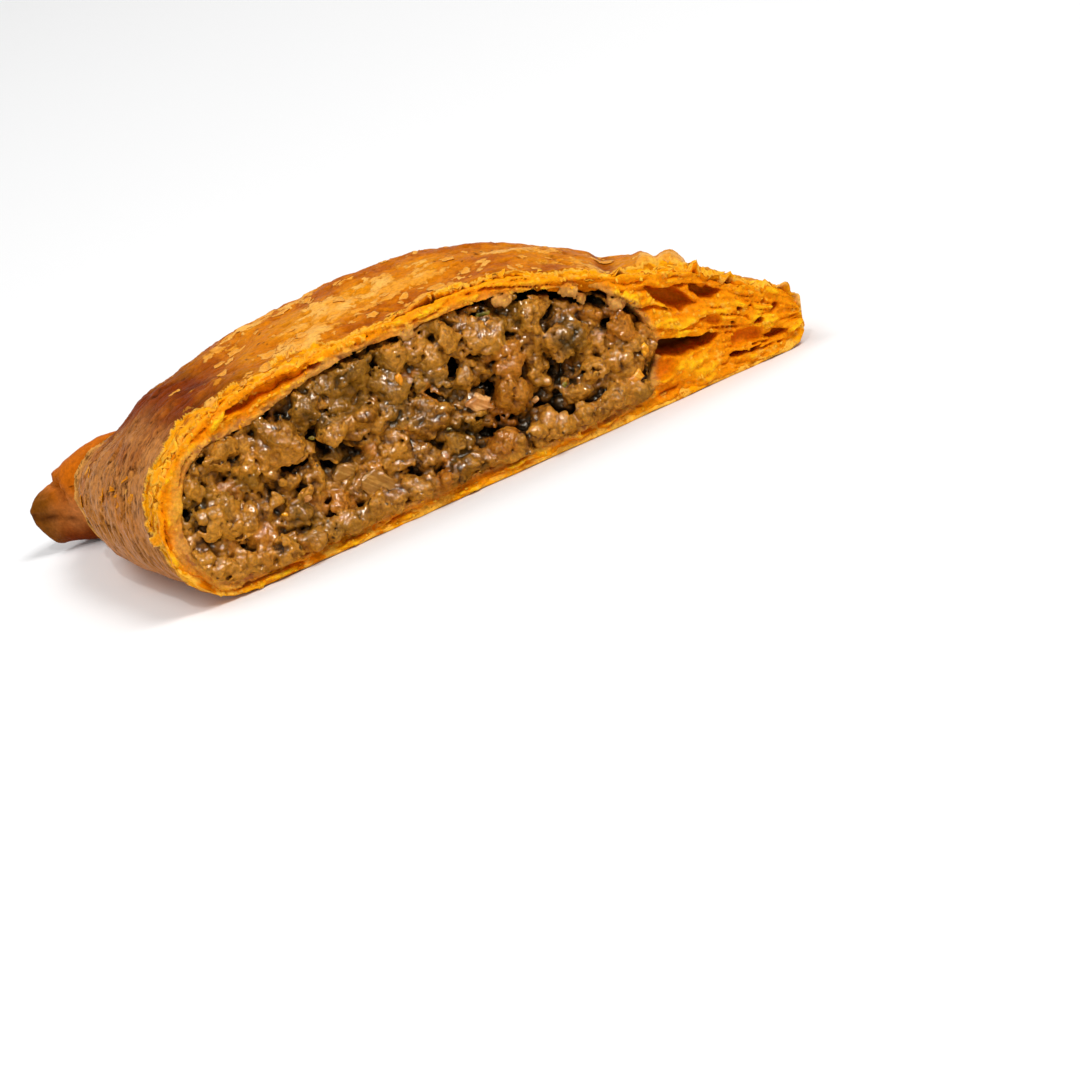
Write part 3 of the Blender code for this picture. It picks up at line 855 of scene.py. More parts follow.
def skin_colours(zone):
    """The browned colour, with painted shade in its grooves, cracks, wrinkles and pleat valleys, and the
    colour of its flakes.
    """
    x, y, z, above = zone.x, zone.y, zone.z, zone.above
    browning = rough(x, y, z, 9.0, 5, 32.0)
    rim = 1.0 - smooth(3.0, 9.0, zone.from_edge)
    hidden = (1.0 - zone.shown) * (1.0 - zone.tail)
    tone = painted(
        blend(ORANGE, AMBER, smooth(-0.05, 0.35, browning + 0.5 * zone.small)),
        (GOLD, 0.5 * smooth(-0.1, 0.3, 0.5 * zone.small - browning)),
        (BROWN, zone.shoulder * (1.15 + 1.1 * rough(x, y, z, 5.0, 4, 34.0))),
        # Painted shade in the shoulder's wrinkles
        (DARK, 0.6 * zone.wrinkle),
        (GREYED, zone.side * (0.9 + rough(x, y, z, 4.0, 4, 36.0))),
        # Painted shade in the fold side's cracks and in the groove beside the rim
        (DARK, 0.6 * zone.fissure + 0.9 * zone.rim_groove),
        (FLAKE, 0.65 * zone.rim),
        (BROWN, 0.4 * zone.pits * (1.0 - zone.side)),
        (tail_colours(zone), zone.tail),
        (GOLD, 0.65 * rim * (1.0 - zone.marks) * above * (1.0 - zone.tail)),
        (BROWN, zone.marks * (0.8 + rough(x, y, z, 0.9, 3, 40.0))),
        (BROWN, 0.5 * zone.seam),
        (UNDERSIDE, hidden * (0.8 + 0.8 * rough(x, y, z, 9.0, 5, 42.0))),
        # Painted shade in the valleys between the pleats
        (BROWN, 0.6 * smooth(0.0, -0.5, zone.pleat)),
        (DARK, 0.8 * smooth(0.5, 0.53, rough(x, y, z, 0.9, 2, 44.0)) * above),
    )
    pale = blend(FLAKE, FLAKE_GOLD, smooth(-0.3, 0.2, rough(x, y, z, 3.0, 4, 46.0)))
    return tone, blend(pale, tone, 0.6 * zone.shoulder)


def tail_colours(zone):
    """Glossy brown with lighter patches that are partly a painted sheen, darker below and at the tip, with
    painted shade in the groove and round the root.
    """
    x, z = zone.x, zone.z
    uneven = rough(x, zone.y, z, 4.0, 3, 37.0)
    return painted(
        TAIL_BROWN,
        # Lighter tan in random patches, partly a painted sheen
        (TAIL_TAN_AND_SHEEN, 0.5 + 1.8 * uneven),
        (TAIL_TOP, smooth(-4.5, -1.0, x) * smooth(6.0, 9.0, z)),
        (TAIL_UNDER, smooth(5.5, 1.5, z + 2.0 * uneven)),
        (TAIL_TIP, 0.9 * smooth(-4.5, -6.5, x + 1.5 * uneven)),
        # Painted shade in the groove between the lobes and in the groove round the tail's root
        (DARK, 0.85 * bell(tail_groove(x, z), 0.5) * smooth(-2.0, -4.0, x)),
        (DARK, 0.8 * bell(zone.y - TAIL_ROOT, 0.8) * bell(zone.from_fold, 10.0)),
    )


def evened(ring):
    """The values round the tail's last section, more even with each loop towards its tip."""
    rings = []
    for _ in range(SKIN_END_LOOPS):
        for reach in (5, 11, 19):
            ring = (ring + np.roll(ring, reach, axis=0) + np.roll(ring, -reach, axis=0)) / 3.0
        rings.append(ring)
    return rings


def make_skin():
    """The browned skin with its lip folded in at the cut and its tail closed behind."""
    points, top_side, lip = skin_grid()
    normals = grid_normals(points)
    zone = skin_zones(points, top_side, lip)
    tone, pale = skin_colours(zone)
    shell = points + normals * skin_height(zone)[..., None]
    shell[..., 2] = np.maximum(shell[..., 2], 0.0)
    loops = [shell[0] - normals[0] * deep * LIP_THICKNESS + (0.0, back, 0.0) for deep, back in LIP_LOOPS]
    loops += list(shell)
    last = shell[-1]
    middle = last.mean(axis=0)
    across = last[SKIN_ACROSS_TOP - 1] - last[0]
    outward = unit(np.array((-across[1], across[0], 0.0)))
    for number, ring in enumerate(evened(last), 1):
        turn = math.radians(LAST_ANGLE * number / SKIN_END_LOOPS)
        loops.append(middle + (ring - middle) * math.cos(turn) + outward * TAIL_BULGE * math.sin(turn))
    loops = np.array(loops)
    loops[..., 2] = np.maximum(loops[..., 2], 0.0)
    _, quads = ring_quads(*loops.shape[:2])
    quads = quads[:, (0, 3, 2, 1)]
    looks = {
        "tone": tone,
        "pale": pale,
        "flake": zone.flake - 0.4 * zone.marks,
        "bark": (zone.side + 0.15 * zone.shoulder) * zone.shown,
        "peel": zone.borders[0] - zone.y,
        "peel_deep": zone.borders[1] - zone.y,
    }
    for name, look in looks.items():
        look = np.concatenate((look[:1],) * len(LIP_LOOPS) + (look, np.array(evened(look[-1]))))
        looks[name] = look.reshape(-1, *look.shape[2:])
    tone = looks.pop("tone")
    piece = make_piece("crust_skin", loops.reshape(-1, 3), quads, skin_material(), tone, more=looks)
    return piece, shell, normals


# ---------------------------------------------------------------- loose flakes

FLAKE_RINGS = 4
FLAKE_SECTORS = 20
FLAKE_THICKNESS = 0.08
SHARD_GOLD = srgb(244, 152, 8)
SHARD_PALE = srgb(255, 196, 58)

# Groups of flakes: how many, first and last place round the section, nearest and furthest from
# the cut, smallest and largest radius, how far they curl up, colour of the middle and of the rim
FLAKE_GROUPS = (
    (22, 2, 56, 0.3, 5.5, 0.5, 1.6, 0.7, SHARD_GOLD, SHARD_PALE),
    (60, 40, 262, 0.2, 2.0, 0.3, 1.0, 0.5, SHARD_GOLD, SHARD_PALE),
    (26, 225, 296, 0.1, 1.4, 0.3, 0.8, 0.7, SHARD_GOLD, SHARD_PALE),
    (10, 2, 26, 12.0, 44.0, 0.5, 1.3, 0.4, ORANGE, GOLD),
    (70, 60, 250, 3.0, 30.0, 0.4, 1.5, 0.12, FLAKE_GOLD, FLAKE),
)


def sample_grid(grid, row, column):
    """Values of a grid that closes on itself from column to column, at places between its points."""
    row = np.clip(row, 0.0, len(grid) - 1.001)
    low_row, low_column = np.floor(row).astype(int), np.floor(column).astype(int)
    up, side = (row - low_row)[..., None], (column - low_column)[..., None]
    count = grid.shape[1]
    left, right = low_column % count, (low_column + 1) % count
    first = grid[low_row, left] * (1.0 - side) + grid[low_row, right] * side
    second = grid[low_row + 1, left] * (1.0 - side) + grid[low_row + 1, right] * side
    return first * (1.0 - up) + second * up


def flake_plate(draw, shell, normals, row, column, radius, curl):
    """Points of one thin ragged plate that hugs the skin and curls up at one side."""
    turns = np.linspace(0.0, 2.0 * math.pi, FLAKE_SECTORS, endpoint=False)
    start = draw.uniform(0.0, 40.0)
    rim = 1.0 + 1.3 * rough(start + 1.4 * np.cos(turns), start + 1.4 * np.sin(turns), 0.0, 1.3, 4)
    ring = np.linspace(0.0, 1.0, FLAKE_RINGS)[:, None]
    slant, stretch = draw.uniform(0.0, 3.14), draw.uniform(0.55, 1.0)
    along = radius * ring * rim * np.cos(turns)
    across = radius * ring * rim * np.sin(turns) * stretch
    v = along * math.cos(slant) - across * math.sin(slant)
    u = along * math.sin(slant) + across * math.cos(slant)
    here = shell[row, column]
    row_step = np.linalg.norm(shell[row + 1, column] - here) + 0.02
    column_step = np.linalg.norm(shell[row, (column + 1) % shell.shape[1]] - here) + 0.02
    places = (row + v / row_step, column + u / column_step)
    base, facing = sample_grid(shell, *places), unit(sample_grid(normals, *places))
    lifted = smooth(-0.4, 1.0, along / radius * math.cos(start) + across / radius * math.sin(start))
    lift = 0.01 + curl * draw.uniform(0.2, 1.0) * lifted * radius / 1.2
    lift = lift + 0.08 * rough(v + start, u, 0.0, 0.8, 2)
    upper = base + facing * (lift + FLAKE_THICKNESS)[..., None]
    return upper, upper - facing * FLAKE_THICKNESS, ring


def plate_faces():
    """Quads of one plate: its upper face, its lower face and the rim between them."""
    index, upper = ring_quads(FLAKE_RINGS, FLAKE_SECTORS)
    lower = upper[:, ::-1] + index.size
    last, ahead = index[-1], np.roll(index[-1], -1)
    rim = np.stack((last, last + index.size, ahead + index.size, ahead), -1)
    return np.concatenate((upper, lower, rim))


def make_flakes(shell, normals):
    """The loose flakes of the skin, in one piece."""
    draw = np.random.default_rng(41)
    faces, bodies = plate_faces(), []
    for total, first, last, near, far, small, large, curl, middle, edge in FLAKE_GROUPS:
        for _ in range(total):
            column = int(draw.integers(first, last))
            behind = near + (far - near) * draw.random() ** 1.6
            row = int(np.clip(np.searchsorted(shell[:, column, 1], behind), 1, SKIN_STATIONS - 3))
            radius = small + (large - small) * draw.random() ** 1.8
            upper, lower, ring = flake_plate(draw, shell, normals, row, column, radius, curl)
            both = np.concatenate((upper, lower)).reshape(-1, 3)
            both[:, 2] = np.maximum(both[:, 2], FLOOR_GAP)
            mottle = rough(*both.T, 0.9, 3, 48.0).reshape(2, FLAKE_RINGS, FLAKE_SECTORS)
            pale = clip(smooth(0.55, 1.0, ring)[None] + mottle)
            bodies.append((both, faces, blend(middle, edge, pale).reshape(-1, 3)))
    points, quads, tones = joined(bodies)
    return make_piece("crust_flakes", points, quads, dough_material("flaked_dough", 0.0), tones)


# ---------------------------------------------------------------- layered cut

DOUGH = srgb(236, 140, 4)
# Painted shade of the dough a little behind the layers' ends
DOUGH_SHADED = srgb(210, 98, 1)
# Painted light on the layers' foremost ends
DOUGH_LIT = srgb(252, 186, 20)
DOUGH_SOAKED = srgb(206, 142, 62)
# Painted shade further behind the layers' ends and in the pockets
DOUGH_CAVE_SHADE = srgb(216, 120, 4)
# Painted shadow deep in the pockets
CAVE_SHADOW = srgb(58, 15, 1)
SOAKED_BROWN = srgb(168, 104, 52)
LUMP_BROWN = srgb(166, 104, 40)
LUMP_PALE = srgb(216, 156, 78)
CUT_STEP = 0.225  # mm between the points of its grid
CUT_DEPTH = 7.6  # mm behind the cut where the layers end
CUT_GRID = ((-5.0, 93.6), (-1.5, CUT_DEPTH + 0.5), (-0.4, 28.0))
CUT_SPLITS = (62.0,)  # where its pieces part along x
LAYER = 0.95  # mm from one layer of the walls to the next
WEDGE_LAYERS = 14.0  # layers across the solid end at the crimped side

# Open spaces between the layers: depth, softness of the rim, outline in x and z
POCKETS = (
    (4.6, 1.3, (72.4, 16.9), (74.0, 15.4), (77.1, 14.3), (77.8, 12.8), (78.6, 11.3), (76.5, 10.8),
     (73.4, 13.5)),
    (4.2, 0.9, (78.2, 14.3), (80.7, 13.0), (82.8, 11.3), (81.1, 10.7), (79.4, 11.3), (78.5, 12.8)),
    (1.3, 0.8, (79.9, 14.5), (82.0, 14.0), (83.6, 12.9), (85.4, 10.9), (83.1, 11.5), (80.8, 13.1)),
    (1.9, 0.3, (83.1, 8.4), (83.8, 8.8), (84.6, 7.8), (83.8, 7.7)),
    (1.5, 0.2, (85.2, 7.9), (85.7, 8.1), (86.0, 7.6), (85.6, 7.4)),
    (1.2, 0.2, (86.9, 7.8), (87.6, 7.9), (87.4, 7.2)),
    (1.9, 0.3, (87.7, 6.1), (88.7, 6.9), (89.4, 6.5), (88.0, 5.5)),
    (1.0, 0.3, (83.6, 7.1), (84.8, 7.0), (84.6, 6.2)),
    (1.9, 0.3, (85.1, 5.4), (85.8, 6.1), (86.7, 5.9), (86.2, 4.9)),
    (2.2, 0.2, (81.7, 7.1), (82.5, 7.2), (83.1, 6.4), (82.4, 6.2)),
    (1.5, 0.6, (78.7, 8.6), (79.9, 8.9), (80.9, 8.4), (81.3, 7.5), (80.4, 7.1), (79.3, 7.7)),
    (1.8, 0.9, (81.5, 5.0), (82.9, 5.5), (84.7, 5.2), (86.2, 4.4), (85.5, 3.2), (83.6, 2.9), (81.2, 3.5)),
    (6.5, 0.9, (71.4, 7.5), (72.2, 8.6), (77.1, 7.1), (80.4, 6.2), (78.5, 5.0), (74.3, 5.2), (72.0, 6.1),
     (71.2, 6.7)),
    (3.2, 0.3, (80.0, 2.9), (81.0, 3.1), (83.6, 2.5), (85.3, 2.4), (84.2, 1.7), (81.1, 2.0)),
    (3.0, 0.3, (85.6, 3.0), (87.1, 3.6), (89.8, 2.9), (88.9, 2.3), (87.2, 2.3)),
    (1.7, 1.0, (69.8, 5.9), (71.1, 6.5), (73.3, 5.6), (73.4, 4.9), (72.2, 3.5), (70.2, 3.3), (68.8, 4.6)),
    (2.6, 0.8, (13.3, 23.0), (14.9, 23.9), (17.7, 24.5), (19.9, 24.9), (23.3, 25.0), (26.4, 24.7),
     (29.9, 24.5),
     (27.3, 24.0), (24.4, 23.6), (20.5, 23.3), (16.9, 22.7)),
    (2.6, 0.25, (4.8, 4.3), (5.5, 4.7), (7.6, 4.1), (10.2, 3.4), (7.8, 3.4), (6.0, 3.7)),
    (1.7, 0.5, (17.3, 3.0), (18.0, 3.9), (21.1, 2.6), (23.8, 2.3), (29.0, 1.3), (25.8, 0.9), (22.0, 1.2)),
    (1.2, 0.4, (36.6, 1.1), (39.5, 1.9), (42.8, 2.2), (45.6, 2.1), (50.8, 2.3), (49.1, 1.3), (43.8, 1.0),
     (38.4, 0.8)),
    (1.3, 0.3, (52.0, 2.2), (53.2, 3.0), (55.5, 2.7), (53.8, 1.9)),
    (1.4, 0.3, (57.0, 1.2), (59.5, 1.7), (63.5, 1.9), (66.0, 2.3), (62.0, 1.2)),
)  # fmt: skip

# Lumps that hang from the roof of the hollow: x, z, radius
ROOF_LUMPS = (
    (68.6, 16.9, 0.7), (68.3, 15.6, 0.9), (69.0, 14.9, 0.5), (69.9, 16.0, 0.6), (71.0, 14.9, 0.7),
    (70.4, 15.5, 0.5), (63.4, 19.3, 0.8), (64.2, 18.2, 0.6), (62.6, 19.9, 0.6), (54.1, 21.9, 0.6),
    (53.4, 22.3, 0.7), (55.2, 22.2, 0.6), (40.4, 22.9, 0.5), (41.2, 23.4, 0.7),
)  # fmt: skip
LUMP_Y = 0.6  # mm behind the cut


def section_pair(plane, outline_at):
    """Depth inside an outline over a plane, at the cut and at CUT_DEPTH."""
    return [signed_distance(*plane, outline_at(y)) for y in (0.0, CUT_DEPTH)]


def spread(pair, y):
    """Values over a grid of three axes, between those at the cut and those at CUT_DEPTH."""
    near, far = (np.asarray(value, dtype=np.float32)[:, None, :] for value in pair)
    return near + (far - near) * clip(y / CUT_DEPTH).astype(np.float32)


def cut_front(x, z, inside):
    """How far behind the plane of the cut each layer's ragged end lies."""
    top, base = crust_heights(x, 0.0 * x)
    share = clip((z - base) / np.maximum(top - base, 0.5))
    wedge = smooth(62.0, 72.0, x)
    layer = (1.0 - wedge) * np.maximum(inside, 0.0) / LAYER
    layer = layer + wedge * WEDGE_LAYERS * np.minimum(share, 1.0 - share)
    layer = layer + 1.1 * rough(x, 0.0, z, 8.0, 3, 50.0) + 0.3 * rough(x, 0.0, z, 1.8, 2, 51.0)
    number = np.floor(layer)
    within = layer - number
    proud = rough(x, number * 7.3, z, 4.5, 3, 52.0)
    frayed = rough(x, number * 3.1, z, 0.9, 3, 54.0)
    open_joint = smooth(-0.02, 0.3, rough(x, number * 5.1, z, 5.0, 2, 56.0))
    front = 0.5 - 1.1 * proud - bell(within - 0.45, 0.3) * (0.2 + 0.8 * frayed)
    front = front + (1.0 - smooth(0.05, 0.42, within)) * (0.04 + 0.9 * open_joint)
    return front - 0.35 * rough(x, 0.0, z, 0.7, 2, 57.0) + 0.5 * rough(x, 3.0, z, 2.4, 3, 58.0)


def carve_pockets(field, axes, wobble):
    """Opens the pockets into the field, each with its own depth."""
    x, y, z = axes
    for depth, soft, *outline in POCKETS:
        outline = np.array(outline)
        spans = grid_block((x, z), outline.min(axis=0) - 1.0, outline.max(axis=0) + 1.0)
        plane = np.meshgrid(x[spans[0]], z[spans[1]], indexing="ij")
        reach = (signed_distance(*plane, outline) + wobble[spans])[:, None, :]
        opening = np.minimum(0.9 * reach, depth * quarter_round(reach, soft) - y[None, :, None])
        block = (spans[0], slice(None), spans[1])
        field[block] = np.maximum(field[block], opening)


def hang_lumps(field, axes):
    """Adds the soaked lumps that hang from the roof of the hollow."""
    for lump_x, lump_z, radius in ROOF_LUMPS:
        middle = np.array((lump_x, LUMP_Y, lump_z))
        spans = grid_block(axes, middle - 2.5, middle + 2.5)
        grid = np.meshgrid(*(values[span] for values, span in zip(axes, spans)), indexing="ij")
        offset = [(values - place) * stretch for values, place, stretch in zip(grid, middle, (1.0, 0.7, 1.0))]
        away = np.sqrt(sum(step**2 for step in offset)) - radius + 0.9 * rough(*grid, 0.9, 4, 76.0)
        field[spans] = np.minimum(field[spans], away)


def cut_tones(points, hollow_gap, skin_gap):
    """Colours of the layers: painted light at their ends and painted shade behind them, soaked next to the
    filling.
    """
    x, y, z = points.T
    uneven = rough(x, y, z, 2.5, 3, 68.0)
    near_wall = hollow_gap * (1.0 - 0.4 * smooth(14.0, 6.0, x)) + 0.9 * rough(x, y, z, 3.0, 3, 70.0)
    soaked = smooth(1.35, 0.5, near_wall) * (1.0 - 0.75 * smooth(70.5, 73.0, x))
    soaked = soaked * clip(0.62 + 0.4 * smooth(16.0, 8.0, z) + 0.9 * rough(x, y, z, 8.0, 3, 72.0))
    nearest = np.min([np.hypot(x - each[0], z - each[1]) - each[2] for each in ROOF_LUMPS], axis=0)
    lump = painted(LUMP_BROWN, (LUMP_PALE, 0.5 + 1.3 * rough(x, y, z, 1.0, 3, 75.0)))
    crumb = smooth(0.3, 0.42, rough(x, y, z, 0.6, 2, 74.0)) * smooth(1.6, 0.4, y)
    return painted(
        DOUGH,
        # Painted light on the layers' foremost ends, painted shade behind them and deepest in the pockets
        (DOUGH_SHADED, smooth(0.5, 2.2, y + 0.8 * uneven)),
        (DOUGH_LIT, smooth(0.45, -0.4, y + 0.5 * uneven)),
        (DOUGH_CAVE_SHADE, 0.9 * smooth(2.0, 4.5, y)),
        (CAVE_SHADOW, 0.85 * smooth(4.6, 6.6, y)),
        (DOUGH_SOAKED, soaked),
        (SOAKED_BROWN, soaked * smooth(0.1, 0.4, rough(x, y, z, 1.3, 3, 73.0))),
        (lump, smooth(0.9, 0.4, nearest) * smooth(0.5, 0.1, hollow_gap)),
        (EDGE_PALE, 0.6 * crumb),
        (LAYER_BRIGHT, smooth(0.9, 0.5, skin_gap) * smooth(0.3, 1.0, y)),
    )


def split_piece(name, points, quads, tones, material, limits, wet=None):
    """Makes several pieces of one surface, parted at the given places along x."""
    middle = points[quads].mean(axis=1)[:, 0]
    number = np.searchsorted(np.array(limits), middle)
    pieces = []
    for part in range(len(limits) + 1):
        kept = quads[number == part]
        used, renumbered = np.unique(kept, return_inverse=True)
        faces = renumbered.reshape(kept.shape)
        label = f"{name}_{part + 1}"
        more = None if wet is None else {"wet": wet[used]}
        pieces.append(make_piece(label, points[used], faces, material, tones[used], more))
    return pieces


def make_cut():
    """The layered face of the crust, with the first millimetres behind it."""
    axes = [np.arange(*ends, CUT_STEP) for ends in CUT_GRID]
    x, y, z = np.ix_(*axes)
    plane = np.meshgrid(axes[0], axes[2], indexing="ij")
    inside, hollow = section_pair(plane, crust_outline), section_pair(plane, hollow_outline)
    inside_all, outside_all = spread(inside, y), -spread(hollow, y)
    front = cut_front(*plane, inside[0]).astype(np.float32)[:, None, :]
    behind_lip = smooth(0.0, 1.2, y - lip_distance(*plane)[:, None, :])
    behind_lip = behind_lip * smooth(6.0, 10.0, z) * smooth(89.0, 84.0, x)
    ragged_front = (1.0 - smooth(0.8, 3.5, y)) * rough_grid(axes, 1.3, 3, 60.0)
    skirt = 0.32 + 1.1 * behind_lip + 0.5 * ragged_front
    field = np.maximum(skirt - inside_all, -outside_all - 0.45 * rough_grid(axes, 2.2, 3, 62.0))
    field = np.maximum(field, (front - y) * 0.8)
    field = np.maximum(field, y - CUT_DEPTH).astype(np.float32)
    carve_pockets(field, axes, 0.5 * rough(plane[0], 0.0, plane[1], 1.5, 3, 64.0))
    hang_lumps(field, axes)
    points, quads = surface_net(field, axes, CUT_STEP)
    hollow_gap, skin_gap = (nearest_value(grid, axes, points) for grid in (outside_all, inside_all))
    points = relax(points, quads, 1, 0.4)
    points[:, 2] = np.maximum(points[:, 2], FLOOR_GAP)
    tones = cut_tones(points, hollow_gap, skin_gap)
    return split_piece("crust_cut", points, quads, tones, dough_material(), CUT_SPLITS), points


def nearest_value(grid, axes, points):
    """The grid's value at the grid point nearest to each point."""
    spots = []
    for axis, values in enumerate(axes):
        step = values[1] - values[0]
        spot = np.rint((points[:, axis] - values[0]) / step).astype(int)
        spots.append(np.clip(spot, 0, len(values) - 1))
    return grid[tuple(spots)]


# ---------------------------------------------------------------- mince

MEAT = srgb(124, 72, 9)
# Pale meat, also used as the painted highlight on the granules' tops
MEAT_PALE_AND_LIT = srgb(188, 124, 34)
MEAT_ORANGE = srgb(166, 88, 8)
MEAT_OLIVE = srgb(96, 68, 10)
# Near black: the meat's own dark specks, and painted shade in the crevices and deep behind the cut
MEAT_SPECKS_AND_SHADE = srgb(16, 6, 1)
# Darker meat in random places, and painted shade in the valleys between the granules
JUICE_AND_SHADE = srgb(62, 34, 4)
MINCE_STEP = 0.195  # mm between the points of its grid
MINCE_SPLITS = (28.0, 48.0)  # where its pieces part along x
MINCE_BACK = 4.6  # mm behind the cut where it ends
SMALL_CLUMPS = 175
REAR_CLUMPS = 90
CLUMP_SPAN_X = (3.0, 72.0)
CLUMP_SPAN_Z = (2.0, 25.0)
FACE_STEP = 0.35  # mm, for the mean face of the mince
FACE_LIMIT = 2.5  # mm behind the cut where that face lies at most
FACE_ROUNDS = 12
MINCE_GRID = ((2.4, 73.2), (-2.98, MINCE_BACK + 1.2), (1.0, 25.6))
CLUMP_BLEND = 0.2  # mm over which one lump runs into the next
GAP_DEPTH = 4.2  # mm behind the cut where the deep gaps end

GRANULE_REACH = 1.4  # mm from the lumps' surface within which granules count

# Granules on the lumps: size, height, seed
GRANULES = ((2.2, 0.9, 21), (1.15, 0.68, 22), (0.62, 0.42, 23))

# The lumps that stand out at the cut: x, z, radius
FRONT_CLUMPS = (
    (45.3, 20.8, 2.0), (43.1, 17.9, 2.1), (50.4, 19.1, 2.6), (56.6, 19.0, 2.0), (56.4, 15.7, 2.1),
    (60.6, 13.8, 2.8), (56.2, 12.7, 1.7), (52.2, 14.4, 1.9), (50.8, 12.2, 1.2), (64.6, 11.8, 2.1),
    (67.8, 12.5, 1.4), (68.0, 9.6, 2.1), (66.2, 7.7, 1.9), (62.5, 8.6, 1.7), (45.7, 10.8, 2.1),
    (46.0, 14.1, 1.9), (39.3, 11.6, 2.6), (37.0, 7.4, 2.8), (53.8, 5.1, 1.9), (51.1, 10.3, 2.1),
    (59.2, 6.9, 1.4), (62.7, 4.3, 1.4), (55.0, 10.9, 1.4), (42.0, 6.0, 2.1), (46.6, 4.4, 1.9),
    (61.8, 10.7, 1.2), (31.4, 21.9, 3.3), (38.6, 21.2, 2.3), (36.1, 18.4, 2.0), (19.9, 16.8, 3.3),
    (14.2, 15.2, 2.3), (18.2, 12.6, 1.9), (22.2, 10.2, 2.0), (31.1, 15.7, 2.0), (27.4, 15.6, 2.0),
    (7.9, 17.2, 1.4), (6.4, 15.4, 1.3), (34.2, 9.6, 1.9), (8.3, 11.4, 2.8), (10.9, 9.7, 1.8),
    (16.0, 10.8, 1.0), (20.2, 8.9, 1.0), (18.2, 7.3, 2.3), (24.5, 6.4, 2.0), (5.7, 8.5, 2.0),
    (13.3, 6.1, 1.8), (12.4, 19.3, 1.6), (15.2, 18.1, 1.3), (25.3, 19.3, 2.0), (35.6, 13.9, 2.0),
    (4.5, 8.8, 1.6), (4.9, 6.3, 1.6), (6.0, 4.8, 1.4), (4.4, 11.9, 1.1), (5.0, 15.9, 1.2), (7.6, 19.2, 1.3),
)  # fmt: skip

# The deep gaps between them: x, z, half length, half height, tilt in degrees
GAPS = (
    (19.6, 13.4, 3.4, 0.75, -20), (25.0, 11.1, 1.3, 0.8, -40), (4.9, 13.6, 1.4, 0.8, 60),
    (9.2, 18.6, 1.3, 0.8, 40), (15.0, 20.6, 1.4, 0.8, 10), (22.3, 5.7, 1.5, 0.55, 70),
    (9.6, 7.8, 1.1, 0.5, -20), (6.4, 10.7, 1.5, 0.65, -50), (32.9, 16.8, 1.4, 0.75, -30),
    (29.7, 13.8, 0.9, 0.4, -50), (34.4, 23.4, 1.8, 0.9, 10), (38.2, 24.0, 2.0, 0.9, 0),
    (14.8, 7.7, 0.8, 0.55, 0), (50.9, 21.9, 2.2, 0.9, -10), (56.9, 21.3, 2.6, 1.1, -15),
    (62.3, 18.8, 2.8, 1.3, -25), (66.4, 16.6, 2.4, 1.4, -35), (53.7, 12.0, 1.1, 0.65, 70),
    (48.9, 11.5, 1.6, 0.7, 60), (45.8, 9.0, 1.6, 0.6, -5), (33.2, 6.5, 1.1, 0.55, 50),
    (40.1, 7.6, 1.0, 0.7, 60), (40.9, 14.5, 1.9, 0.8, -40), (61.3, 9.2, 1.1, 0.4, 60),
    (38.2, 16.7, 1.5, 0.6, 20), (57.2, 11.2, 0.8, 0.55, 0), (45.4, 16.4, 1.4, 0.75, 20),
    (41.9, 22.1, 1.2, 0.7, 40), (55.6, 5.1, 0.7, 0.4, 60), (46.0, 6.8, 1.0, 0.35, 60),
    (65.5, 5.2, 1.0, 0.4, -10), (27.6, 18.0, 1.2, 0.45, 75), (22.8, 13.6, 1.0, 0.4, 10),
    (50.0, 7.6, 1.3, 0.5, -30), (59.0, 15.9, 1.0, 0.4, 80), (35.4, 11.6, 1.2, 0.5, 60),
)  # fmt: skip


def scatter_clumps(draw, total, sizes, crowding, fronts, placed, outline_map):
    """Adds lumps at random places inside the hollow, clear of each other."""
    values, x_axis, z_axis = outline_map
    for _ in range(total * 60):
        if len(placed) >= total:
            break
        size = draw.uniform(*sizes)
        x, z = draw.uniform(*CLUMP_SPAN_X), draw.uniform(*CLUMP_SPAN_Z)
        room = values[np.searchsorted(x_axis, x) - 1, np.searchsorted(z_axis, z) - 1]
        if room < size * (0.55 if z > 7.0 else 0.25):
            continue
        if any(math.dist((x, z), (c[0], c[2])) < crowding * (size + c[3]) for c in placed):
            continue
        placed.append((x, draw.uniform(*fronts) + size, z, size))


def clump_table(outline_map):
    """Centre and size of each lump: the chosen ones in front, small ones between, more behind."""
    draw = np.random.default_rng(12)
    front = [(x, draw.uniform(-1.1, 0.9) + 0.9 * size, z, size) for x, z, size in FRONT_CLUMPS]
    front += [(x, draw.uniform(0.0, 0.8), 3.6, 1.5) for x in np.arange(8.0, 69.0, 2.3)]
    known = len(front)
    scatter_clumps(draw, known + SMALL_CLUMPS, (0.9, 1.8), 0.66, (0.5, 2.3), front, outline_map)
    rear = []
    scatter_clumps(draw, REAR_CLUMPS, (1.6, 3.0), 0.6, (2.4, 4.0), rear, outline_map)
    return front + rear


def add_clumps(field, owner, axes, warped, clumps):
    """Joins each lump to the field and notes which lump each grid point is nearest to."""
    draw = np.random.default_rng(5)
    for number, (*centre, size) in enumerate(clumps):
        turn = np.array(Matrix.Rotation(draw.uniform(0.0, 6.28), 3, Vector(draw.normal(size=3))))
        stretch = draw.uniform(0.8, 1.25, 3).astype(np.float32)
        reach = size * 1.3 + 1.4
        spans = grid_block(axes, np.array(centre) - reach, np.array(centre) + reach)
        offset = np.stack([values[spans] - place for values, place in zip(warped, centre)], -1)
        local = offset @ turn.T.astype(np.float32) / stretch
        away = np.sqrt((local * local).sum(axis=-1)) - np.float32(size)
        old = field[spans]
        share = clip(0.5 + 0.5 * (old - away) / CLUMP_BLEND)
        owner[spans] = np.where(away < old, number + 1, owner[spans])
        field[spans] = old + (away - old) * share - CLUMP_BLEND * share * (1.0 - share)


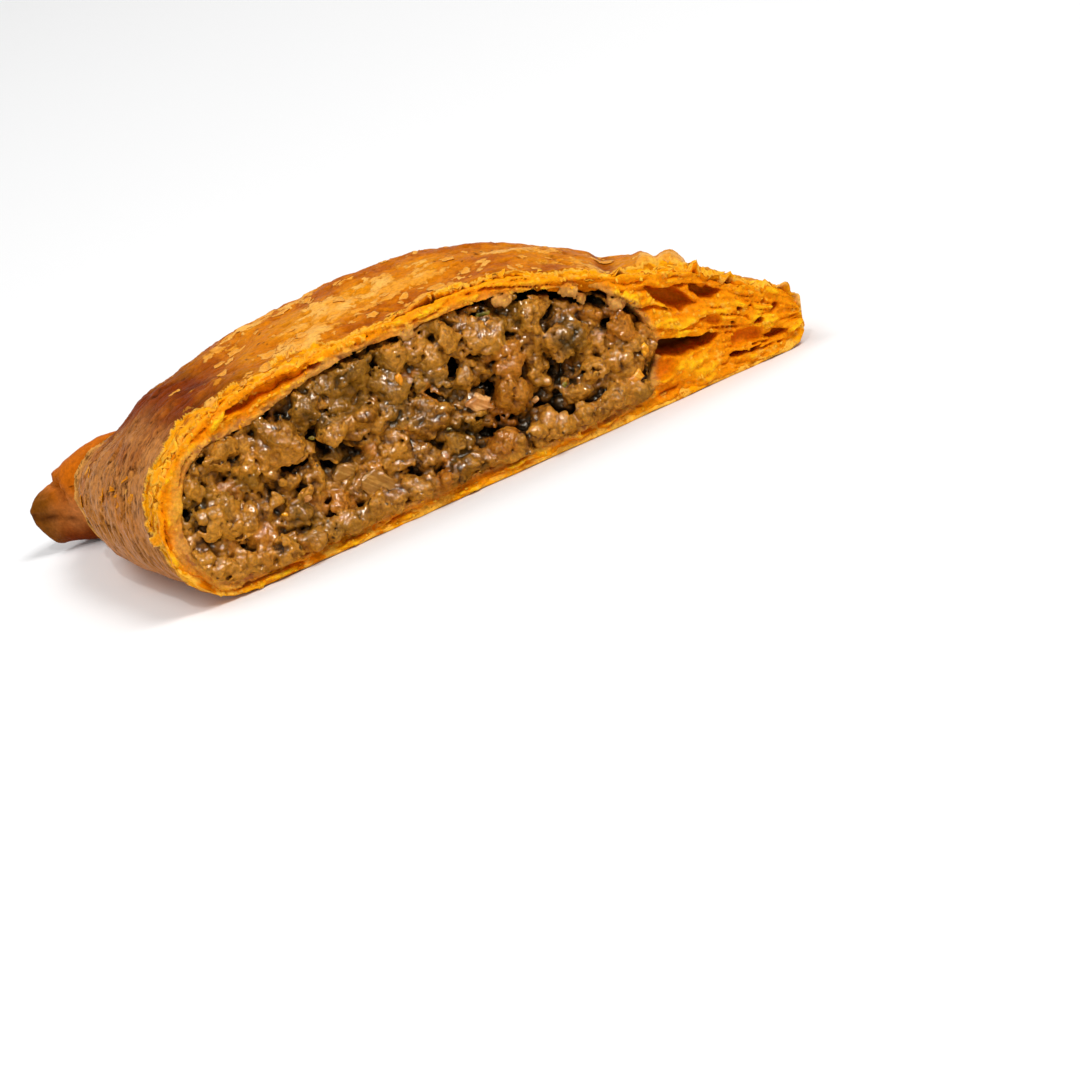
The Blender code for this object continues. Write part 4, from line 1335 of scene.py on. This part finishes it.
def granules(x, y, z):
    """Height of the granules that cover the lumps, and each point's granule number."""
    across = x + 0.6 * rough(x, y, z, 1.8, 2, 84.0)
    up = z + 0.6 * rough(x, y, z, 1.6, 2, 86.0)
    knobs = 0.88 + 0.4 * rough(x, y, z, 7.0, 2, 88.0)
    height = 0.3 * rough(x, y, z, 0.5, 2, 90.0) - 1.03
    numbers = []
    for size, tall, seed in GRANULES:
        away, number = worley(across, y + 0.3 * seed, up, size, seed)
        height += tall * knobs * np.sqrt(clip(1.0 - (away / 0.85) ** 2))
        numbers.append(number)
    return height, numbers[1]


def make_mince():
    """The loose mince: lumps with granules on them and gaps between them."""
    axes = [np.arange(*ends, MINCE_STEP) for ends in MINCE_GRID]
    x, y, z = np.ix_(*axes)
    hollow = section_pair(np.meshgrid(axes[0], axes[2], indexing="ij"), hollow_outline)
    outside = -spread(hollow, y)
    spots = np.meshgrid(*(values.astype(np.float32) for values in axes), indexing="ij")
    warped = []
    for axis in range(3):
        shift = 1.5 * rough_grid(axes, 3.4, 2, 82.0 + 5 * axis)
        warped.append(spots[axis] + shift + 0.5 * rough_grid(axes, 1.4, 1, 97.0 + axis))
    back = MINCE_BACK + 0.8 * rough_grid(axes, 4.0, 2, 80.0) - spots[1]
    field = np.ascontiguousarray(back, dtype=np.float32)
    owner = np.zeros(field.shape, dtype=np.int32)
    add_clumps(field, owner, axes, warped, clump_table((hollow[0], axes[0], axes[2])))

    low = smooth(8.0, 4.0, z)
    roof = smooth(22.0, 30.0, x) * smooth(10.0, 14.0, z)
    wall = smooth(9.0, 5.5, x) * smooth(5.0, 8.0, z)
    margin = 1.3 * roof + 0.4 * wall - 1.1 * low + rough_grid(axes, 2.8, 2, 92.0) - 0.3
    field = np.maximum(field, outside + margin.astype(np.float32))
    open_gaps(field, axes, warped)

    close = np.abs(field) < GRANULE_REACH
    bumps = np.zeros(field.shape, dtype=np.float32)
    grain_number = np.zeros(field.shape, dtype=np.int32)
    bumps[close], grain_number[close] = granules(*(spot[close] for spot in spots))
    field = np.maximum(field - bumps, outside - (0.15 + 0.6 * low).astype(np.float32))

    points, quads = surface_net(field, axes, MINCE_STEP)
    quads = quads[points[quads][:, :, 1].min(axis=1) <= MINCE_BACK + 0.5]
    seen = [nearest_value(grid, axes, points) for grid in (owner, grain_number, bumps)]
    sunk = sunk_behind(points)
    points = relax(points, quads, 1, 0.3)
    tones, wet = mince_tones(points, *seen, sunk)
    material = moist_material("moist_mince", (0.62, 1.24), 0.3)
    return split_piece("mince", points, quads, tones, material, MINCE_SPLITS, wet), points


def open_gaps(field, axes, warped):
    """Cuts the deep gaps into the field, narrower as they go back."""
    for gap_x, gap_z, length, height, tilt in GAPS:
        length, height = length * 1.1, height * (1.25 - 0.45 * smooth(44.0, 50.0, gap_x))
        middle, reach = np.array((gap_x, gap_z)), length + 2.5
        spans = grid_block(axes[::2], middle - reach, middle + reach)
        block = (spans[0], slice(None), spans[1])
        turn = math.radians(tilt)
        across, behind, up = (values[block] for values in warped)
        across, up = across - gap_x, up - gap_z
        long_way = (across * math.cos(turn) + up * math.sin(turn)) / length
        short_way = (up * math.cos(turn) - across * math.sin(turn)) / height
        narrow = height * (1.0 - 0.06 * np.maximum(behind, 0.0) - np.hypot(long_way, short_way))
        field[block] = np.maximum(field[block], np.minimum(narrow, GAP_DEPTH - behind))


def sunk_behind(points):
    """How far each point lies behind the mean face of the mince round it."""
    column, row = ((points[:, axis] / FACE_STEP).astype(int) for axis in (0, 2))
    face = np.full((column.max() + 2, row.max() + 2), FACE_LIMIT)
    np.minimum.at(face, (column, row), points[:, 1])
    for _ in range(FACE_ROUNDS):
        beside = np.roll(face, 1, 0) + np.roll(face, -1, 0) + np.roll(face, 1, 1) + np.roll(face, -1, 1)
        face = (2.0 * face + beside) / 6.0
    return points[:, 1] - face[column, row]


def mince_tones(points, owner, grain_number, bumps, sunk):
    """Colours of the mince and how moist it is, with painted highlights on the granules and painted shade in
    the crevices.
    """
    x, y, z = points.T
    pick = np.random.default_rng(31).random(4096)
    clump = pick[owner % len(pick)]
    speck = pick[(grain_number * 7 + 13) % len(pick)]
    wander = rough(x, y, z, 7.0, 3, 95.0)
    # lit mixes the meat's random tone with painted light: lighter on the granules' tops, darker behind the
    # mince's face
    lit = 0.55 * (speck - 0.5) + 0.9 * wander + 0.5 * (clump - 0.5) + 1.7 * (bumps + 0.12) - 0.45 * sunk
    # deep is painted shade: the mince darkens the further it lies behind the cut
    deep = smooth(1.1, 3.8, y + 0.5 * wander)
    tone = painted(
        MEAT,
        # Pale meat and painted highlights where lit is high, darker meat and painted shade in the valleys
        # where it is low
        (MEAT_PALE_AND_LIT, lit),
        (JUICE_AND_SHADE, -1.8 * lit),
        (MEAT_OLIVE, 0.45 * smooth(0.05, 0.3, rough(x, y, z, 6.0, 3, 97.0))),
        (MEAT_ORANGE, 0.5 * smooth(0.8, 0.95, clump)),
        # Painted shade between the granules and behind the mince's face, the meat's own dark specks, then
        # painted shade deep behind the cut
        (MEAT_SPECKS_AND_SHADE, 0.75 * smooth(-0.12, -0.65, bumps)),
        (MEAT_SPECKS_AND_SHADE, 0.75 * smooth(0.5, 2.1, sunk)),
        (MEAT_SPECKS_AND_SHADE, 0.85 * smooth(0.5, 0.53, rough(x, y, z, 0.9, 2, 99.0))),
        (MEAT_SPECKS_AND_SHADE, deep),
    )
    return tone, 1.0 - deep


# ---------------------------------------------------------------- bits in the mince and crumbs

# Softened onion, two slices: outline in x and z
ONION = (
    ((27.5, 8.2), (29.9, 8.7), (31.9, 6.1), (31.7, 4.2), (28.7, 4.5), (27.4, 6.7)),
    ((24.4, 9.8), (26.2, 10.6), (28.3, 9.7), (27.0, 8.3), (24.4, 8.1)),
)
HERBS = (
    ((49.2, 21.4), (50.5, 21.9), (52.4, 21.6), (51.9, 21.0), (50.4, 21.2)),
    ((23.6, 15.6), (24.3, 15.9), (24.7, 15.3), (24.0, 15.1)),
    ((40.6, 9.5), (41.1, 9.9), (41.4, 9.3), (40.9, 9.1)),
    ((57.6, 8.3), (58.5, 8.6), (58.6, 8.0), (57.9, 7.9)),
)
GOLDEN_BITS = (
    ((37.7, 19.7), (37.9, 17.9), (37.2, 16.7), (36.9, 18.1)),
    ((65.8, 5.6), (67.8, 6.5), (68.2, 5.3), (66.6, 4.7)),
    ((61.6, 4.8), (61.8, 3.9), (61.1, 3.5)),
    ((68.9, 9.0), (69.9, 9.3), (70.1, 8.0), (69.2, 7.8)),
    ((15.9, 8.1), (16.7, 8.4), (16.9, 7.7)),
)
PALE_BITS = (
    ((19.6, 10.0), (20.5, 9.6), (20.8, 8.3), (19.5, 8.4)),
    ((44.2, 11.5), (46.3, 12.1), (47.9, 10.9), (47.6, 9.5), (45.4, 9.9)),
    ((53.0, 7.9), (54.1, 8.3), (54.4, 7.5), (53.4, 7.2)),
)
BIT_STEP = 0.12

# Kinds of bits: name, outlines, thickness, two colours
BIT_KINDS = (
    ("onion", ONION, 0.9, (srgb(150, 98, 34), srgb(176, 124, 54))),
    ("herbs", HERBS, 0.35, (srgb(70, 66, 12), srgb(128, 110, 30))),
    ("golden_bits", GOLDEN_BITS, 0.7, (srgb(214, 132, 18), srgb(238, 168, 40))),
    ("pale_bits", PALE_BITS, 1.5, (srgb(184, 118, 56), srgb(222, 164, 98))),
)

CRUMB_BEHIND = 0.7  # mm behind the cut where crumbs may lie
CRUMB_CLEAR = 0.2  # mm that they keep from the hollow

# Groups of crumbs: how many, reach in x, reach in z, smallest and largest radius
CRUMB_GROUPS = (
    (160, (8.0, 88.0), (9.0, 30.0), 0.08, 0.28),
    (70, (62.0, 91.0), (0.0, 14.0), 0.08, 0.26),
    (110, (4.0, 60.0), (0.0, 4.0), 0.08, 0.24),
)


def make_bits(name, outlines, thickness, colours, material, mince_points):
    """Small pillow-shaped pieces that lie in the face of the mince."""
    bodies = []
    for outline in outlines:
        outline = np.array(outline)
        low, high = outline.min(axis=0) - 0.5, outline.max(axis=0) + 0.5
        apart = np.linalg.norm(mince_points[:, ::2] - (low + high) / 2.0, axis=1)
        face = np.percentile(mince_points[apart < 1.2][:, 1], 20.0)
        ends = ((low[0], high[0]), (face - thickness - 0.4, face + thickness + 0.6), (low[1], high[1]))
        axes = [np.arange(*pair, BIT_STEP) for pair in ends]
        plane = np.meshgrid(axes[0], axes[2], indexing="ij")
        reach = signed_distance(*plane, outline) + 0.45 * rough(plane[0], 0.0, plane[1], 0.9, 3, 101.0)
        half = thickness / 2.0 * quarter_round(reach, 0.5)
        bend = face + 0.35 * rough(plane[0], 2.0, plane[1], 1.6, 2, 103.0)
        field = np.abs(axes[1][None, :, None] - bend[:, None, :]) - half[:, None, :]
        field = np.where(reach[:, None, :] > 0.0, field, 0.3)
        body, quads = surface_net(field, axes, BIT_STEP)
        body = relax(body, quads, 2)
        lines = smooth(-0.1, 0.25, rough(body[:, 0] + body[:, 2], 0.2 * body[:, 2], 0.0, 0.36, 2, 105.0))
        bodies.append((body, quads, blend(*colours, lines)))
    points, quads, tones = joined(bodies)
    return make_piece(name, points, quads, material, tones, {"wet": np.ones(len(points))})


def make_all_bits(mince_points):
    material = moist_material("moist_bits", (0.8, 1.15), 0.05)
    return [make_bits(name, *rest, material, mince_points) for name, *rest in BIT_KINDS]


def crumb_ball():
    """Points and quads of a small ball."""
    rows, columns = 5, 8
    tilts = np.linspace(0.12, math.pi - 0.12, rows)
    turns = np.linspace(0.0, 2.0 * math.pi, columns, endpoint=False)
    tilt, turn = np.meshgrid(tilts, turns, indexing="ij")
    ball = np.stack((np.sin(tilt) * np.cos(turn), np.sin(tilt) * np.sin(turn), np.cos(tilt)), -1)
    index, sides = ring_quads(rows, columns)
    caps = [index[row, [0, k, k + 1, k + 2]] for row in (0, -1) for k in range(1, columns - 2, 2)]
    caps = [cap if number < 3 else cap[::-1] for number, cap in enumerate(caps)]
    return ball.reshape(-1, 3), np.concatenate((sides, caps))


def make_crumbs(cut_points):
    """Crumbs of dough that cling to the face of the cut."""
    draw = np.random.default_rng(61)
    ball, quads = crumb_ball()
    bodies = []
    front = cut_points[cut_points[:, 1] < CRUMB_BEHIND]
    front = front[signed_distance(front[:, 0], front[:, 2], hollow_outline(0.0)) < -CRUMB_CLEAR]
    for total, in_x, in_z, small, large in CRUMB_GROUPS:
        near = front[(front[:, 0] > in_x[0]) & (front[:, 0] < in_x[1])]
        near = near[(near[:, 2] > in_z[0]) & (near[:, 2] < in_z[1])]
        for place in near[draw.integers(0, len(near), total)]:
            radius = small + (large - small) * draw.random() ** 2
            shape = ball * draw.uniform(0.6, 1.3, 3) * radius
            shape = shape * (1.0 + 1.3 * rough(*(ball * 2.0 + draw.uniform(0, 40, 3)).T, 0.9, 2))[:, None]
            body = shape + place - (0.0, 0.2 * radius, 0.0)
            body[:, 2] = np.maximum(body[:, 2], FLOOR_GAP)
            bodies.append((body, quads, blend(SHARD_GOLD, SHARD_PALE, np.full(len(body), draw.random()))))
    points, quads, tones = joined(bodies)
    return make_piece("crumbs", points, quads, dough_material("crumbly_dough", 0.0), tones)


# ---------------------------------------------------------------- stage, light and camera

FLOOR_SIZE = 8.0
FLOOR_DROP = 0.00005
WORLD_STRENGTH = 0.38
LIGHT_DISTANCE = 2.5  # metres that one unit of a lamp's place stands for

# Lamps: name, place, size, power
LAMPS = (
    ("key", (0.30, -0.45, 0.70), 0.30, 4.4),
    ("top", (-0.30, 0.25, 0.8), 0.5, 2.8),
    ("fill", (-0.7, -0.6, 0.25), 0.6, 1.2),
    ("sharp", (-0.10, -0.42, 0.5), 0.02, 0.7),
)

# Small lamps that only the moist filling's gloss answers to
SHINE_SIZE = 0.14
SHINE_POWER = 15.5
SHINE_PLACES = (
    (-0.35, -0.5, 0.35), (0.30, -0.5, 0.3), (0.05, -0.25, 0.7),
    (-0.05, -0.6, 0.45), (-0.5, -0.4, 0.65), (0.45, -0.35, 0.6),
)  # fmt: skip


def make_stage():
    bpy.ops.mesh.primitive_plane_add(size=FLOOR_SIZE, location=(0.0, 0.0, -FLOOR_DROP))
    floor = bpy.context.object
    floor.name = "floor"
    look = Look("pale_floor", 0.6, Base_Color=(0.9, 0.9, 0.9, 1.0), Specular_IOR_Level=0.2)
    floor.data.materials.append(look.material)
    floor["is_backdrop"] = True
    world = bpy.context.scene.world or bpy.data.worlds.new("studio")
    bpy.context.scene.world = world
    world.use_nodes = True
    background = world.node_tree.nodes["Background"]
    background.inputs["Color"].default_value = (1.0, 1.0, 1.0, 1.0)
    background.inputs["Strength"].default_value = WORLD_STRENGTH


def make_light(name, place, size, power, shines_on=None):
    """A square lamp that faces the object. Place and size are at a metre's scale."""
    data = bpy.data.lights.new(name, "AREA")
    data.size = size * LIGHT_DISTANCE
    data.energy = power * LIGHT_DISTANCE**2
    lamp = bpy.data.objects.new(name, data)
    lamp.location = Vector(place) * LIGHT_DISTANCE
    lamp.rotation_euler = (-lamp.location).to_track_quat("-Z", "Y").to_euler()
    bpy.context.scene.collection.objects.link(lamp)
    if shines_on:
        data.color = (1.0, 0.94, 0.8)
        lamp.visible_diffuse = False
        lamp.light_linking.receiver_collection = shines_on


def make_lights(moist_pieces):
    for lamp in LAMPS:
        make_light(*lamp)
    moist = bpy.data.collections.new("moist")
    for piece in moist_pieces:
        moist.objects.link(piece)
    for number, place in enumerate(SHINE_PLACES):
        make_light(f"shine_{number}", place, SHINE_SIZE, SHINE_POWER, moist)


def make_camera():
    """The photograph's camera, in the part's own frame."""
    angles = (CAMERA_AZIMUTH, CAMERA_ELEVATION, CAMERA_ROLL)
    (sin_az, cos_az), (sin_el, cos_el), (sin_roll, cos_roll) = (
        (math.sin(math.radians(angle)), math.cos(math.radians(angle))) for angle in angles
    )
    look = np.array((-sin_az * cos_el, cos_az * cos_el, -sin_el))
    level = unit(np.cross(look, (0.0, 0.0, 1.0)))
    upright = np.cross(level, look)
    right = level * cos_roll - upright * sin_roll
    up = level * sin_roll + upright * cos_roll
    across, down = ((pixel - PHOTO_PIXELS / 2.0) / PIXELS_PER_MM for pixel in ANCHOR_PIXEL)
    place = ANCHOR - look * CAMERA_DISTANCE - right * across + up * down
    data = bpy.data.cameras.new("photo_camera")
    data.sensor_width = SENSOR_WIDTH
    data.lens = PIXELS_PER_MM * CAMERA_DISTANCE / PHOTO_PIXELS * data.sensor_width
    data.clip_start, data.clip_end = SIGHT
    camera = bpy.data.objects.new("photo_camera", data)
    turn = Matrix((right, up, -look)).transposed().to_4x4()
    camera.matrix_world = Matrix.Translation(to_part(place)) @ turn
    bpy.context.scene.collection.objects.link(camera)
    bpy.context.scene.camera = camera


bpy.context.scene.view_settings.view_transform = "Standard"
make_camera()
make_stage()
skin, shell, shell_normals = make_skin()
make_flakes(shell, shell_normals)
cut, cut_points = make_cut()
make_crumbs(cut_points)
mince, mince_points = make_mince()
bits = make_all_bits(mince_points)
make_lights((*mince, *bits))
for piece in (skin, *cut):
    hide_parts("crust")
for piece in mince:
    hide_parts("filling")

boxes = {"cad": cad_box, "visual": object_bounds()}
{name: [list(corner) for corner in box] for name, box in boxes.items()}
